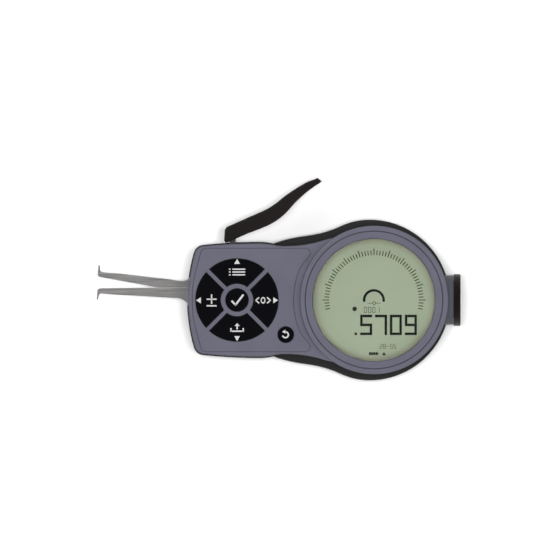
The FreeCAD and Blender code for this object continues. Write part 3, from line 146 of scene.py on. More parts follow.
class CaliperColours(bpy.types.PropertyGroup):
    """Colours of the finishes."""

    shell_grey: colour("Shell grey", "Front shell, keypad panel and bezel", (0.0995, 0.0985, 0.131))
    shell_black: colour("Shell black", "Rear shell", (0.0195, 0.019, 0.0195))
    key_black: colour("Key black", "Keys", (0.0022, 0.002, 0.003))
    print_white: colour("Print white", "Marks on the keys", (0.5, 0.5, 0.5))
    display_ground: colour("Display ground", "The display behind its marks", (0.44, 0.505, 0.358))
    display_dark: colour("Display dark", "Large digits of the display", (0.002, 0.0025, 0.0015))
    display_grey: colour("Display grey", "Scale and small digits of the display", (0.022, 0.024, 0.016))
    handle_black: colour("Handle black", "Lift lever", (0.011, 0.0088, 0.0088))
    boss_grey: colour("Boss grey", "Battery tube and its boss", (0.071, 0.074, 0.092))
    cap_black: colour("Cap black", "Battery cap", (0.0075, 0.0055, 0.005))
    arm_steel: colour("Arm steel", "Measuring arms", (0.74, 0.725, 0.72))
    plain_steel: colour("Plain steel", "Screws, nuts and pins", (0.78, 0.74, 0.74))


# Outlines

# How far a corner may lie off a level face, the decimals that tell two corners apart,
# and the least divisor at a sharp corner, which keeps its inset short
LEVEL = 0.001 * MM
PLACES = 7
SHARPEST = 0.2


def sides(loop):
    """The sides of a closed line, each as its start and end."""
    return list(zip(loop, loop[1:] + loop[:1]))


def corners_of(loop):
    """The points of a closed line, each between the one before and the one after."""
    return list(zip(loop[-1:] + loop[:-1], loop, loop[1:] + loop[:1]))


def flat_loops(node, height, upward=True):
    """The edges of a node's flat faces at one height, as closed lines, the largest first."""
    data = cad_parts[node].data
    edges = {}
    for face in data.polygons:
        corners = [data.vertices[index].co for index in face.vertices]
        level = all(abs(corner.z - height) < LEVEL for corner in corners)
        if not level or (face.normal.z > 0.5) != upward:
            continue
        keys = [(round(corner.x, PLACES), round(corner.y, PLACES)) for corner in corners]
        for start, end in sides(keys):
            if edges.get(end) and start in edges[end]:
                edges[end].remove(start)
            else:
                edges.setdefault(start, []).append(end)
    loops = []
    while any(edges.values()):
        start = next(key for key, ends in edges.items() if ends)
        loop = [start]
        while edges[loop[-1]]:
            following = edges[loop[-1]].pop()
            if following == start:
                break
            loop.append(following)
        loops.append(loop if enclosed(loop) > 0 else loop[::-1])
    return [[Vector(point) for point in loop] for loop in sorted(loops, key=enclosed, reverse=True)]


def enclosed(loop):
    """The area inside a closed line, positive if it runs anticlockwise."""
    return sum(a[0] * b[1] - b[0] * a[1] for a, b in sides(loop)) / 2


def circle(radius, centre=(0, 0), steps=CIRCLE_STEPS):
    angles = [2 * math.pi * number / steps for number in range(steps)]
    return [Vector((centre[0] + radius * math.cos(a), centre[1] + radius * math.sin(a))) for a in angles]


def rectangle(left, right, low, high):
    return [Vector(point) for point in ((left, low), (right, low), (right, high), (left, high))]


def stepped(loop, spacing):
    """The same closed line with its long runs divided."""
    points = []
    for start, end in sides(loop):
        count = max(1, math.ceil((end - start).length / spacing))
        points += [start.lerp(end, number / count) for number in range(count)]
    return points


def inset_loop(loop, distance):
    """A closed anticlockwise line moved inwards by a distance."""
    moved = []
    for before, point, after in corners_of(loop):
        into = (point - before).normalized()
        out = (after - point).normalized()
        first = Vector((-into.y, into.x))
        second = Vector((-out.y, out.x))
        moved.append(point + (first + second) * distance / max(1 + first.dot(second), SHARPEST))
    return moved


def parallel(loop, distance):
    """A line inset by a distance, without the folds that its inner corners would make."""
    slack = 0.01 * MM
    kept = []
    for point in inset_loop(loop, distance):
        nearest = min(gap_to(point, start, end) for start, end in sides(loop))
        if nearest > abs(distance) - slack:
            kept.append(point)
    return kept


def gap_to(point, start, end):
    """The distance from a point to a straight side."""
    side = end - start
    part = min(max((point - start).dot(side) / side.length_squared, 0), 1)
    return (point - start - side * part).length


def grown_to(loop, left):
    """A closed line moved outwards until it reaches the given X on its left."""
    return parallel(loop, left - min(point.x for point in loop))


def way_along(value, start, end):
    """How far a value has gone from start to end, from 0 to 1."""
    return min(max((value - start) / (end - start), 0), 1)


def smooth(part):
    """A part from 0 to 1 that sets in and ends softly."""
    return part * part * (3 - 2 * part)


def eased(value, start, end):
    """How far a value has gone from start to end, softly, from 0 to 1."""
    return smooth(way_along(value, start, end))


def softened(loop, size, limit):
    """A closed line whose sharp inner corners to the left of a limit are cut across."""
    sharp = -0.5
    soft = []
    for before, point, after in corners_of(loop):
        into = (point - before).normalized()
        out = (after - point).normalized()
        if point.x < limit and into.x * out.y - into.y * out.x < sharp:
            soft += [point - into * size, point + out * size]
        else:
            soft.append(point)
    return soft


def fuller_edge(outline, amount, side, left, right):
    """An arm's outline with its upper (1) or lower (-1) edge moved out between two places."""
    rise = 6 * MM
    fall = 10 * MM
    fuller = []
    for plain, moved in zip(outline, inset_loop(outline, -amount)):
        share = eased(plain.x, left, left + rise) * eased(plain.x, right, right - fall)
        if (moved.y - plain.y) * side < amount / 2:
            share = 0
        fuller.append(plain.lerp(moved, share))
    return fuller


def shifted_sides(loop, amount, rise, fall):
    """A closed line with both long sides moved outwards, from its rise along X to its fall."""
    long_sides = mm(16, 20)
    shifted = []
    for point in loop:
        share = eased(point.x, *rise) * eased(point.x, *fall) * eased(abs(point.y), *long_sides)
        way = 1 if point.y > 0 else -1
        shifted.append(point + Vector((0, way * amount * share)))
    return shifted


def rounded_top(radius, top):
    """Pairs of inset and height up a rounded upper edge, with a close ring on the flat."""
    angles = [math.radians(90 * number / ROUND_STEPS) for number in range(ROUND_STEPS + 1)]
    pairs = [(radius * (1 - math.cos(a)), top - radius * (1 - math.sin(a))) for a in angles]
    return pairs + [(radius + SUPPORT, top)]


def rounded_foot(radius, low):
    return [(inset, 2 * low - height) for inset, height in reversed(rounded_top(radius, low))]


def middle_of(node):
    """The middle of a node seen from above."""
    low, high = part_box(node)
    return ((low.x + high.x) / 2, (low.y + high.y) / 2)


# Meshes


def mesh_from(points, faces):
    work = bmesh.new()
    corners = [work.verts.new(point) for point in points]
    for face in faces:
        work.faces.new([corners[index] for index in face])
    bmesh.ops.recalc_face_normals(work, faces=work.faces)
    mesh = bpy.data.meshes.new("work")
    work.to_mesh(mesh)
    work.free()
    return mesh


def skinned(rings, hollow=False):
    """A closed solid through level rings of points, its two ends capped or joined."""
    count = len(rings[0][0])
    points = []
    for loop, height in rings:
        points += [(point.x, point.y, height) for point in loop]
    faces = []
    for ring in range(len(rings) if hollow else len(rings) - 1):
        low, high = ring * count, (ring + 1) % len(rings) * count
        for number in range(count):
            following = (number + 1) % count
            faces.append((low + number, low + following, high + following, high + number))
    if not hollow:
        faces.append(tuple(reversed(range(count))))
        faces.append(tuple(range(len(points) - count, len(points))))
    return mesh_from(points, faces)


def lofted(loop, profile):
    """A closed solid over a closed line, from pairs of inset and height."""
    return skinned([(inset_loop(loop, inset), height) for inset, height in profile])


def lathed(profile, steps=CIRCLE_STEPS, hollow=False):
    """A solid of revolution about Z from pairs of radius and height, its ends capped or joined."""
    return skinned([(circle(radius, steps=steps), height) for radius, height in profile], hollow)


def prism(loop, low, high):
    return lofted(loop, [(0, low), (0, high)])


def box(low, high):
    return prism(rectangle(low[0], high[0], low[1], high[1]), low[2], high[2])


def block(middle, reach, low, high):
    """A box round a middle seen from above, between two heights."""
    near = (middle[0] - reach[0], middle[1] - reach[1], low)
    far = (middle[0] + reach[0], middle[1] + reach[1], high)
    return box(near, far)


def along_x(mesh, centre_height):
    """A solid of revolution laid along X, its heights read as X."""
    mesh.transform(Matrix.Translation((0, 0, centre_height)) @ Matrix.Rotation(math.radians(90), 4, "Y"))
    return mesh


def gathered(meshes):
    """Several meshes as one."""
    work = bmesh.new()
    for mesh in meshes:
        work.from_mesh(mesh)
    whole = bpy.data.meshes.new("work")
    work.to_mesh(whole)
    work.free()
    return whole


def combined(base, tools, operation):
    """The base with each tool joined to it or cut from it."""
    scene = bpy.context.scene
    body = bpy.data.objects.new("body", base)
    scene.collection.objects.link(body)
    helpers = []
    for tool in tools:
        helper = bpy.data.objects.new("tool", tool)
        scene.collection.objects.link(helper)
        helpers.append(helper)
        step = body.modifiers.new("step", "BOOLEAN")
        step.operation = operation
        step.solver = "EXACT"
        step.object = helper
    graph = bpy.context.evaluated_depsgraph_get()
    made = bpy.data.meshes.new_from_object(body.evaluated_get(graph))
    for helper in [body] + helpers:
        bpy.data.objects.remove(helper)
    return made


def add_piece(name, mesh, body, slot, replaced=None, ink=None):
    """Names a mesh, smooths it, gives it its slot's finish or an ink and hangs it on its body, if any."""
    mesh.name = name
    mesh.shade_smooth()
    mesh.set_sharp_from_angle(angle=math.radians(CREASE))
    mesh.materials.clear()
    mesh.materials.append(finish_of(ink or slot))
    piece = bpy.data.objects.new(name, mesh)
    bpy.context.scene.collection.objects.link(piece)
    if body:
        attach(piece, body)
    if replaced:
        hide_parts(replaced)
    return piece


# Finishes


class Finish:
    """A material in the making: its shader, and the nodes that feed it."""

    def __init__(self, name="finish"):
        self.material = bpy.data.materials.new(name)
        self.material.use_nodes = True
        self.tree = self.material.node_tree
        self.shader = self.tree.nodes["Principled BSDF"]
        self.place = self.node("ShaderNodeTexCoord").outputs["Object"]

    def node(self, kind, **values):
        made = self.tree.nodes.new(kind)
        for name, value in values.items():
            setattr(made, name, value)
        return made

    def link(self, output, socket):
        self.tree.links.new(output, socket)

    def coloured(self, output):
        self.link(output, self.shader.inputs["Base Color"])

    def rough(self, value, low, high):
        """Lets the roughness follow a value between two bounds."""
        self.link(self.spread(value, low, high), self.shader.inputs["Roughness"])

    def level(self, socket, value):
        """Sets a socket of the shader that is the same all over."""
        self.shader.inputs[socket].default_value = value

    def stretched(self, scale):
        mapping = self.node("ShaderNodeMapping")
        mapping.inputs["Scale"].default_value = scale
        self.link(self.place, mapping.inputs["Vector"])
        return mapping.outputs["Vector"]

    def noise(self, scale, detail=3, place=None):
        made = self.node("ShaderNodeTexNoise")
        made.inputs["Scale"].default_value = scale
        made.inputs["Detail"].default_value = detail
        self.link(place or self.place, made.inputs["Vector"])
        return made.outputs["Fac"]

    def spread(self, value, low, high, start=0.3, end=0.7):
        made = self.node("ShaderNodeMapRange")
        made.inputs["From Min"].default_value = start
        made.inputs["From Max"].default_value = end
        made.inputs["To Min"].default_value = low
        made.inputs["To Max"].default_value = high
        self.link(value, made.inputs["Value"])
        return made.outputs["Result"]

    def mixed(self, factor, first, second):
        """A colour between two, whose sockets go by number because their names aren't unique."""
        made = self.node("ShaderNodeMix", data_type="RGBA")
        self.link(factor, made.inputs["Factor"])
        for socket, value in ((made.inputs[6], first), (made.inputs[7], second)):
            if isinstance(value, bpy.types.NodeSocket):
                self.link(value, socket)
            else:
                socket.default_value = (*value, 1)
        return made.outputs[2]

    def toned(self, value, first, second, most=1):
        """A colour that wanders from the first to the second, or part of the way, with a value."""
        return self.mixed(self.spread(value, low=0, high=most), first, second)

    def product(self, first, second):
        made = self.node("ShaderNodeMath", operation="MULTIPLY")
        self.link(first, made.inputs[0])
        self.link(second, made.inputs[1])
        return made.outputs["Value"]

    def bump(self, height, strength, distance):
        made = self.node("ShaderNodeBump")
        made.inputs["Strength"].default_value = strength
        made.inputs["Distance"].default_value = distance
        self.link(height, made.inputs["Height"])
        self.link(made.outputs["Normal"], self.shader.inputs["Normal"])

    def edge_wear_and_highlight(self, radius):
        """How far a spot lies on a rounded edge, broken up by noise, for paler edges that are partly wear and
        partly a painted highlight.
        """
        bevel = self.node("ShaderNodeBevel", samples=4)
        bevel.inputs["Radius"].default_value = radius
        shape = self.node("ShaderNodeNewGeometry")
        across = self.node("ShaderNodeVectorMath", operation="DOT_PRODUCT")
        self.link(bevel.outputs["Normal"], across.inputs[0])
        self.link(shape.outputs["Normal"], across.inputs[1])
        bent = self.spread(across.outputs["Value"], low=1, high=0, start=0.93, end=0.995)
        broken = self.spread(self.noise(scale=420, detail=5), low=0.1, high=0.9)
        return self.product(bent, broken)

    def painted_rim_shade(self):
        """How much a spot lies on the rounding between a top and a wall, where shade is painted."""
        facing = self.node("ShaderNodeSeparateXYZ")
        self.link(self.node("ShaderNodeTexCoord").outputs["Normal"], facing.inputs["Vector"])
        height = facing.outputs["Z"]
        below_top = self.spread(height, low=1, high=0, start=0.35, end=0.93)
        above_wall = self.spread(height, low=0, high=1, start=0.03, end=0.2)
        return self.product(below_top, above_wall)

    def distance_out(self):
        """How far a spot lies from the display's axis."""
        distance = self.node("ShaderNodeVectorMath", operation="LENGTH")
        self.link(self.stretched((1, 1, 0)), distance.inputs[0])
        return distance.outputs["Value"]


def lighter(tint, amount):
    return tuple(value + (1 - value) * amount for value in tint)


def shaded(tint, factor):
    return tuple(min(value * factor, 1) for value in tint)


def moulded(tint, roughness, grain=3200, depth=0.02 * MM, wear_and_highlight=0.12, gloss=0.35, rim=1.0):
    """Moulded plastic: a fine spark-eroded grain, faint flow tones, paler edges that are partly wear and
    partly a painted highlight, and painted shade on the roundings between tops and walls.
    """
    edge_band_width = 0.35 * MM
    finish = Finish()
    flow = finish.toned(finish.noise(scale=70, detail=4), shaded(tint, 0.95), shaded(tint, 1.06))
    # Paler edges: partly wear, partly a painted highlight.
    worn_and_painted_light = finish.mixed(finish.edge_wear_and_highlight(edge_band_width), flow, lighter(tint, wear_and_highlight))
    # Painted shade: the rounding between the top and the walls is darkened to the given share of the tint.
    if rim < 1:
        worn_and_painted_light = finish.mixed(finish.painted_rim_shade(), worn_and_painted_light, shaded(tint, rim))
    finish.coloured(worn_and_painted_light)
    finish.rough(finish.noise(scale=900), low=roughness - 0.06, high=roughness + 0.06)
    finish.level("Specular IOR Level", gloss)
    finish.bump(finish.noise(grain, detail=2), strength=0.35, distance=depth)
    return finish.material


def brushed(tint, roughness):
    """Ground metal: fine marks along its length, and slow stains."""
    finish = Finish()
    along = finish.stretched((60, 2600, 2600))
    marks = finish.noise(scale=1, detail=5, place=along)
    tone = finish.toned(marks, shaded(tint, 0.84), shaded(tint, 1.1))
    finish.coloured(finish.toned(finish.noise(scale=160, detail=4), tone, shaded(tint, 0.7), most=0.35))
    finish.rough(marks, low=roughness - 0.07, high=roughness + 0.09)
    finish.level("Metallic", 1.0)
    finish.bump(marks, strength=0.4, distance=0.004 * MM)
    return finish.material


def printed(tint, roughness=0.5):
    """Screen-printed ink, a little uneven in tone."""
    finish = Finish()
    finish.coloured(finish.toned(finish.noise(scale=1400), shaded(tint, 0.94), tint))
    finish.rough(finish.noise(scale=2500, detail=2), low=roughness - 0.05, high=roughness + 0.1)
    finish.level("Specular IOR Level", 0.1)
    return finish.material


def display_ground(tint):
    """The display's reflector: a faint grain, and painted shade from the bezel that makes it a little darker
    and redder along its rim.
    """
    bezel_shade_start = 23.2 * MM
    bezel_shade_end = 25.1 * MM
    bezel_shade_factors = (0.86, 0.77, 0.77)
    finish = Finish()
    fine = finish.noise(scale=5200, detail=2)
    grain = finish.toned(fine, shaded(tint, 0.95), shaded(tint, 1.04))
    slow = finish.toned(finish.noise(scale=35, detail=2), grain, shaded(tint, 0.88), most=0.4)
    # Painted shade: the bezel's shadow darkens and reddens the ground towards its rim.
    rim = finish.spread(finish.distance_out(), low=0, high=1, start=bezel_shade_start, end=bezel_shade_end)
    bezel_shade_tint = tuple(value * shade for value, shade in zip(tint, bezel_shade_factors))
    finish.coloured(finish.mixed(rim, slow, bezel_shade_tint))
    finish.rough(finish.noise(scale=2600, detail=2), low=0.45, high=0.62)
    finish.level("Specular IOR Level", 0.25)
    finish.bump(fine, strength=0.2, distance=0.004 * MM)
    return finish.material


def window():
    """Clear moulded plastic."""
    finish = Finish()
    finish.level("Base Color", (0.98, 0.99, 0.985, 1))
    finish.level("Transmission Weight", 1.0)
    finish.level("IOR", 1.49)
    finish.rough(finish.noise(scale=300, detail=4), low=0.0, high=0.03)
    return finish.material


def board(mask_tint, track_tint):
    """A printed circuit board: tracks under a green mask."""
    finish = Finish()
    tracks = finish.node("ShaderNodeTexBrick", offset=0.5)
    tracks.inputs["Scale"].default_value = 260
    tracks.inputs["Mortar Size"].default_value = 0.03
    finish.link(finish.place, tracks.inputs["Vector"])
    finish.coloured(finish.mixed(tracks.outputs["Fac"], mask_tint, track_tint))
    finish.rough(finish.noise(scale=700), low=0.25, high=0.45)
    finish.bump(tracks.outputs["Fac"], strength=0.4, distance=0.03 * MM)
    return finish.material


def rubber(tint):
    """Matt rubber with a little dust."""
    finish = Finish()
    finish.coloured(finish.toned(finish.noise(scale=500, detail=5), tint, lighter(tint, 0.06)))
    finish.rough(finish.noise(scale=1200), low=0.7, high=0.9)
    finish.bump(finish.noise(scale=2600), strength=0.3, distance=0.02 * MM)
    return finish.material


# Colours of what lies inside or is too small for a user to change

MASK_GREEN = (0.012, 0.09, 0.03)
TRACK_GREEN = (0.03, 0.19, 0.07)
RUBBER_BLACK = (0.012, 0.012, 0.013)
FILM_AMBER = (0.42, 0.15, 0.02)
CARBIDE_GREY = (0.3, 0.3, 0.31)
SPRING_GREY = (0.45, 0.45, 0.47)
BRASS_YELLOW = (0.72, 0.5, 0.2)
ENCODER_BLUE = (0.5, 0.56, 0.6)
CELL_CREAM = (0.5, 0.46, 0.4)
NICKEL_GREY = (0.62, 0.6, 0.56)


def make_finishes(colours):
    """Every finish by the record's slot, and the inks."""
    grey = colours.shell_grey
    # The rim values paint shade on the roundings between tops and walls. The wear values make edges paler,
    # partly as wear and partly as a painted highlight.
    return {
        "black_shell": moulded(colours.shell_black, roughness=0.5, wear_and_highlight=0.05, gloss=0.25),
        "grey_shell": moulded(grey, roughness=0.52, wear_and_highlight=0.03, gloss=0.3, rim=0.4),
        "grey_panel": moulded(grey, roughness=0.56, grain=4200, depth=0.01 * MM, wear_and_highlight=0.05),
        "bezel_plastic": moulded(grey, roughness=0.48, wear_and_highlight=0.03, gloss=0.3, rim=0.5),
        "black_key": moulded(colours.key_black, roughness=0.42, wear_and_highlight=0.03, gloss=0.06),
        "clear_window": window(),
        "lcd_glass": display_ground(colours.display_ground),
        "circuit_board": board(MASK_GREEN, TRACK_GREEN),
        "rubber_black": rubber(RUBBER_BLACK),
        "flex_film": moulded(FILM_AMBER, roughness=0.28, gloss=0.5),
        "plain_steel": brushed(colours.plain_steel, roughness=0.42),
        "arm_steel": brushed(colours.arm_steel, roughness=0.42),
        "carbide": brushed(CARBIDE_GREY, roughness=0.3),
        "spring_steel": brushed(SPRING_GREY, roughness=0.28),
        "brass": brushed(BRASS_YELLOW, roughness=0.3),
        "encoder_glass": printed(ENCODER_BLUE, roughness=0.12),
        # The lever's paler edges are partly wear and partly a painted highlight.
        "lever_plastic": moulded(colours.handle_black, roughness=0.42, wear_and_highlight=0.16, gloss=0.15),
        "grey_boss": moulded(colours.boss_grey, roughness=0.5, wear_and_highlight=0.03, gloss=0.25, rim=0.6),
        "cap_plastic": moulded(colours.cap_black, roughness=0.42, wear_and_highlight=0.05, gloss=0.12),
        "cell_wrap": moulded(CELL_CREAM, roughness=0.3, gloss=0.5),
        "nickel": brushed(NICKEL_GREY, roughness=0.2),
        "print_white": printed(colours.print_white),
        "display_dark": printed(colours.display_dark),
        "display_grey": printed(colours.display_grey),
    }


def finish_of(slot):
    return bpy.data.materials[slot + "_finish"]


class CALIPER_OT_finishes(bpy.types.Operator):
    """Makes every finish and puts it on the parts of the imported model"""

    bl_idname = "caliper.finishes"
    bl_label = "Finishes"

    def execute(self, context):
        for slot, material in make_finishes(context.scene.caliper_colours).items():
            material.name = slot + "_finish"
        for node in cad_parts.values():
            for number, given in enumerate(node.data.materials):
                node.data.materials[number] = finish_of(given.name)
        return {"FINISHED"}


# Housing

# The radius of the display's opening, and the spacing of the points along both shells' outlines
VIEW_RADIUS = 25.8 * MM
REAR_SPACING = 1.5 * MM
FRONT_SPACING = 2.4 * MM

# How far the rear shell's rim stands out beyond its wall
RIM_OVERHANG = 2.25 * MM

# How far out the long sides move at the waist, and where along X that rises and falls
REAR_WAIST = (-0.57 * MM, mm(-42, -26), mm(-5, -20))
FRONT_WAIST = (0.32 * MM, mm(-46, -34), mm(-10, -16))

# Where the battery tube's way runs along X
BATTERY_WAY = mm(26.5, 40)

# The screws' seats in the rear shell, and the X between the two pairs of screws
SCREW_BOSS_RADIUS = 3.4 * MM
SCREW_RECESS_RADIUS = 2.3 * MM
SCREW_RECESS_TOP = 2.6 * MM
SCREW_HOLE_RADIUS = 1.28 * MM
BETWEEN_SCREWS = -50 * MM

# Where the front shell's outline passes under the drum it is drawn in, so that the two overlap
DRUM_MARGIN = 0.3 * MM
DRUM_PULL = 0.85

# The front shell's seats for the lens, the panel and the keys, and its slots as low and high corners
LENS_GAP = 0.12 * MM
LENS_CHAMFER = 0.25 * MM
ROOF = 1.0 * MM
PANEL_GAP = 0.3 * MM
KEY_WELLS = (("key_centre", 18.1 * MM, 2 * MIDDLE_STEPS), ("key_reset", 4.5 * MM, MIDDLE_STEPS))
ARM_SLOT = (mm(-82, -6, 12.9), mm(-74, 10.8, 16.1))
LEVER_SLOT = (mm(-61.2, 19, 14.5), mm(-56.05, 27, 16.9))


def battery_way():
    """The round way through both shells for the battery tube."""
    low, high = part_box("battery_tube")
    radius = (high.y - low.y) / 2 + FIT
    return along_x(lathed([(radius, x) for x in BATTERY_WAY]), (low.z + high.z) / 2)


def screw_centres():
    """Where the four housing screws stand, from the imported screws."""
    groups = {}
    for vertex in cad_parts["housing_screws"].data.vertices:
        groups.setdefault((vertex.co.x > BETWEEN_SCREWS, vertex.co.y > 0), []).append(vertex.co)
    centres = []
    for points in groups.values():
        xs = [point.x for point in points]
        ys = [point.y for point in points]
        centres.append(((min(xs) + max(xs)) / 2, (min(ys) + max(ys)) / 2))
    return centres


def panel_outline(height):
    """The keypad panel's outline, fuller at its left side and its two right corners."""
    spacing = 1.0 * MM
    left_end, left_fuller, left_span = -65 * MM, 0.7 * MM, mm(19, 4)
    right_end, right_fuller, right_span = -45 * MM, 1.2 * MM, mm(13, 19)
    outline = []
    for point in stepped(flat_loops("keypad_panel", height)[0], spacing):
        across = abs(point.y)
        if point.x < left_end:
            point = point - Vector((left_fuller * eased(across, *left_span), 0))
        elif point.x > right_end:
            point = point + Vector((right_fuller * eased(across, *right_span), 0))
        outline.append(point)
    return outline


class CALIPER_OT_rear_shell(bpy.types.Operator):
    """Builds the black rear shell with its rounded back edge"""

    bl_idname = "caliper.rear_shell"
    bl_label = "Rear shell"

    def execute(self, context):
        sizes = context.scene.caliper_sizes
        low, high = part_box("rear_shell")
        back = flat_loops("rear_shell", low.z, upward=False)[0]
        outline = shifted_sides(stepped(grown_to(back, low.x), REAR_SPACING), *REAR_WAIST)
        shell = lofted(outline, rounded_foot(sizes.back_edge, low.z) + rounded_top(sizes.seam, high.z))
        inside = parallel(outline, sizes.wall + RIM_OVERHANG)
        hollow = prism(inside, low.z + sizes.wall, high.z + sizes.wall)
        cuts = [battery_way()]
        bosses = []
        for centre in screw_centres():
            recess = circle(SCREW_RECESS_RADIUS, centre, MIDDLE_STEPS)
            hole = circle(SCREW_HOLE_RADIUS, centre, SMALL_STEPS)
            boss = circle(SCREW_BOSS_RADIUS, centre, MIDDLE_STEPS)
            cuts.append(prism(recess, low.z - OVERLAP, SCREW_RECESS_TOP))
            cuts.append(prism(hole, low.z - OVERLAP, high.z + OVERLAP))
            bosses.append(prism(boss, low.z + OVERLAP, high.z - FIT))
        shell = combined(shell, [hollow], "DIFFERENCE")
        shell = combined(combined(shell, bosses, "UNION"), cuts, "DIFFERENCE")
        add_piece("rear_shell_cover", shell, "body", "black_shell", "rear_shell")
        return {"FINISHED"}


class CALIPER_OT_front_shell(bpy.types.Operator):
    """Builds the grey front shell with its round drum, its window and the keypad's recess"""

    bl_idname = "caliper.front_shell"
    bl_label = "Front shell"

    def execute(self, context):
        sizes = context.scene.caliper_sizes
        low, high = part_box("front_shell")
        panel_low, face = [corner.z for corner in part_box("keypad_panel")]
        outline = self.outline(low.x + sizes.rear_lip, high.x, face)
        foot = rounded_foot(sizes.seam, low.z)
        body = lofted(outline, foot + rounded_top(sizes.front_edge, face))
        drum = lofted(circle(high.x), foot + rounded_top(sizes.drum_edge, high.z))
        shell = combined(body, [drum], "UNION")
        roof_low = panel_low - ROOF
        cuts = [
            prism(parallel(outline, sizes.wall), low.z - OVERLAP, roof_low),
            prism(circle(high.x - sizes.wall), low.z - OVERLAP, roof_low),
            prism(circle(VIEW_RADIUS), low.z - OVERLAP, high.z + OVERLAP),
            self.lens_seat(high.z),
            prism(inset_loop(panel_outline(face), -PANEL_GAP), panel_low, face + OVERLAP),
        ]
        for node, radius, steps in KEY_WELLS:
            well = circle(radius, middle_of(node), steps)
            cuts.append(prism(well, panel_low - 2 * ROOF, panel_low + ROOF / 2))
        cuts += [box(*ARM_SLOT), box(*LEVER_SLOT), battery_way()]
        shell = combined(shell, cuts, "DIFFERENCE")
        add_piece("front_shell_cover", shell, "body", "grey_shell", "front_shell")
        return {"FINISHED"}

    @staticmethod
    def outline(left, drum_radius, face):
        """The shell's outline, grown to the rear shell's lip."""
        top = next(loop for loop in flat_loops("front_shell", face) if max(point.x for point in loop) < 0)
        grown = grown_to(top, left)
        under_drum = drum_radius - DRUM_MARGIN
        drawn_in = [point * DRUM_PULL if point.length < under_drum else point for point in grown]
        return stepped(shifted_sides(drawn_in, *FRONT_WAIST), FRONT_SPACING)

    @staticmethod
    def lens_seat(top):
        """The lens's seat, with a chamfered rim."""
        low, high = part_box("display_lens")
        radius = high.x + LENS_GAP
        rim = (radius + 2 * LENS_CHAMFER, top + LENS_CHAMFER)
        return lathed([(radius, low.z), (radius, top - LENS_CHAMFER), rim])


class CALIPER_OT_panel_plate(bpy.types.Operator):
    """Builds the plate that carries the keys"""

    bl_idname = "caliper.panel_plate"
    bl_label = "Keypad panel"

    def execute(self, context):
        edge = 0.12 * MM
        low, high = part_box("keypad_panel")
        plate = lofted(panel_outline(high.z), [(0, low.z)] + rounded_top(edge, high.z))
        holes = flat_loops("keypad_panel", high.z)[1:]
        cuts = [prism(loop, low.z - OVERLAP, high.z + OVERLAP) for loop in holes]
        add_piece("keypad_plate", combined(plate, cuts, "DIFFERENCE"), "body", "grey_panel", "keypad_panel")
        return {"FINISHED"}


class CALIPER_OT_screws(bpy.types.Operator):
    """Builds the housing screws with cross-slotted heads and threads"""

    bl_idname = "caliper.screws"
    bl_label = "Housing screws"

    def execute(self, context):
        low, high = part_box("housing_screws")
        slot_half = 0.26 * MM
        slot_reach = 1.25 * MM
        slot_depth = 0.8 * MM
        screw = lathed(self.profile(low.z, high.z), steps=40)
        slots = []
        for reach in ((slot_half, slot_reach), (slot_reach, slot_half)):
            slots.append(block((0, 0), reach, low.z - OVERLAP, low.z + slot_depth))
        screw = combined(screw, slots, "DIFFERENCE")
        copies = []
        for centre in screw_centres():
            copy = screw.copy()
            copy.transform(Matrix.Translation((*centre, 0)))
            copies.append(copy)
        add_piece("cross_slot_screws", gathered(copies), "body", "plain_steel", "housing_screws")
        return {"FINISHED"}

    @staticmethod
    def profile(low, high):
        """Pairs of radius and height from the domed head along the thread to the tip."""
        dome = [mm(1.7, 0), mm(2.0, 0.15), mm(2.15, 0.5)]
        head = 1.55 * MM
        neck_radius = 1.0 * MM
        neck = 0.3 * MM
        core = 0.98 * MM
        crest = 1.2 * MM
        flank = 0.22 * MM
        pitch = 0.5 * MM
        tip = 0.4 * MM
        profile = dome + [(dome[-1][0], head), (neck_radius, head)]
        height = head + neck
        while low + height < high - OVERLAP:
            profile += [(core, height), (crest, height + flank), (core, height + 2 * flank)]
            height += pitch
        profile += [(core, height), (tip, high - low)]
        return [(radius, low + height) for radius, height in profile]


class CALIPER_OT_bezel(bpy.types.Operator):
    """Builds the ring that holds the window"""

    bl_idname = "caliper.bezel"
    bl_label = "Bezel"

    def execute(self, context):
        sizes = context.scene.caliper_sizes
        low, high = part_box("display_bezel")
        foot_height = 0.35 * MM
        foot_inset = 0.1 * MM
        drop = 0.55 * MM
        slope = sizes.bezel_slope
        outer = high.x
        inner = VIEW_RADIUS
        profile = [(inner, low.z + foot_height), (inner + foot_inset, low.z), (outer, low.z)]
        profile += [(outer - inset, height) for inset, height in rounded_top(sizes.bezel_edge, high.z)]
        profile.append((inner + slope + SUPPORT, high.z))
        for number in range(ROUND_STEPS + 1):
            angle = math.radians(90 * number / ROUND_STEPS)
            radius = inner + slope * (1 - math.sin(angle))
            profile.append((radius, high.z - drop * (1 - math.cos(angle))))
        add_piece("bezel_ring", lathed(profile, hollow=True), "body", "bezel_plastic", "display_bezel")
        return {"FINISHED"}


# Marks, placed in pixels of the photographed view: X to the right and Y down

# The bars of each sign, and the ends of each bar, from 0 to 1 across and up
SEGMENTS = {
    "0": "abcdef", "1": "bc", "2": "abged", "5": "afgcd", "7": "abc", "8": "abcdefg", "9": "abcdfg", "-": "g",
}
SEGMENT_ENDS = {
    "a": ((0, 1), (1, 1)), "b": ((1, 0.5), (1, 1)), "c": ((1, 0), (1, 0.5)), "d": ((0, 0), (1, 0)),
    "e": ((0, 0), (0, 0.5)), "f": ((0, 0.5), (0, 1)), "g": ((0, 0.5), (1, 0.5)),
}

# The scale: its middle, its ticks' number and angles in degrees, which of them are long,
# and their ends as radii
DIAL_MIDDLE = (374, 300)
TICK_COUNT = 57
TICK_START = -10.8
TICK_PITCH = 3.6
LONG_TICKS = range(3, TICK_COUNT, 5)
TICK_INNER = 44.8
TICK_OUTER = 49.6
LONG_TICK_OUTER = 51.5

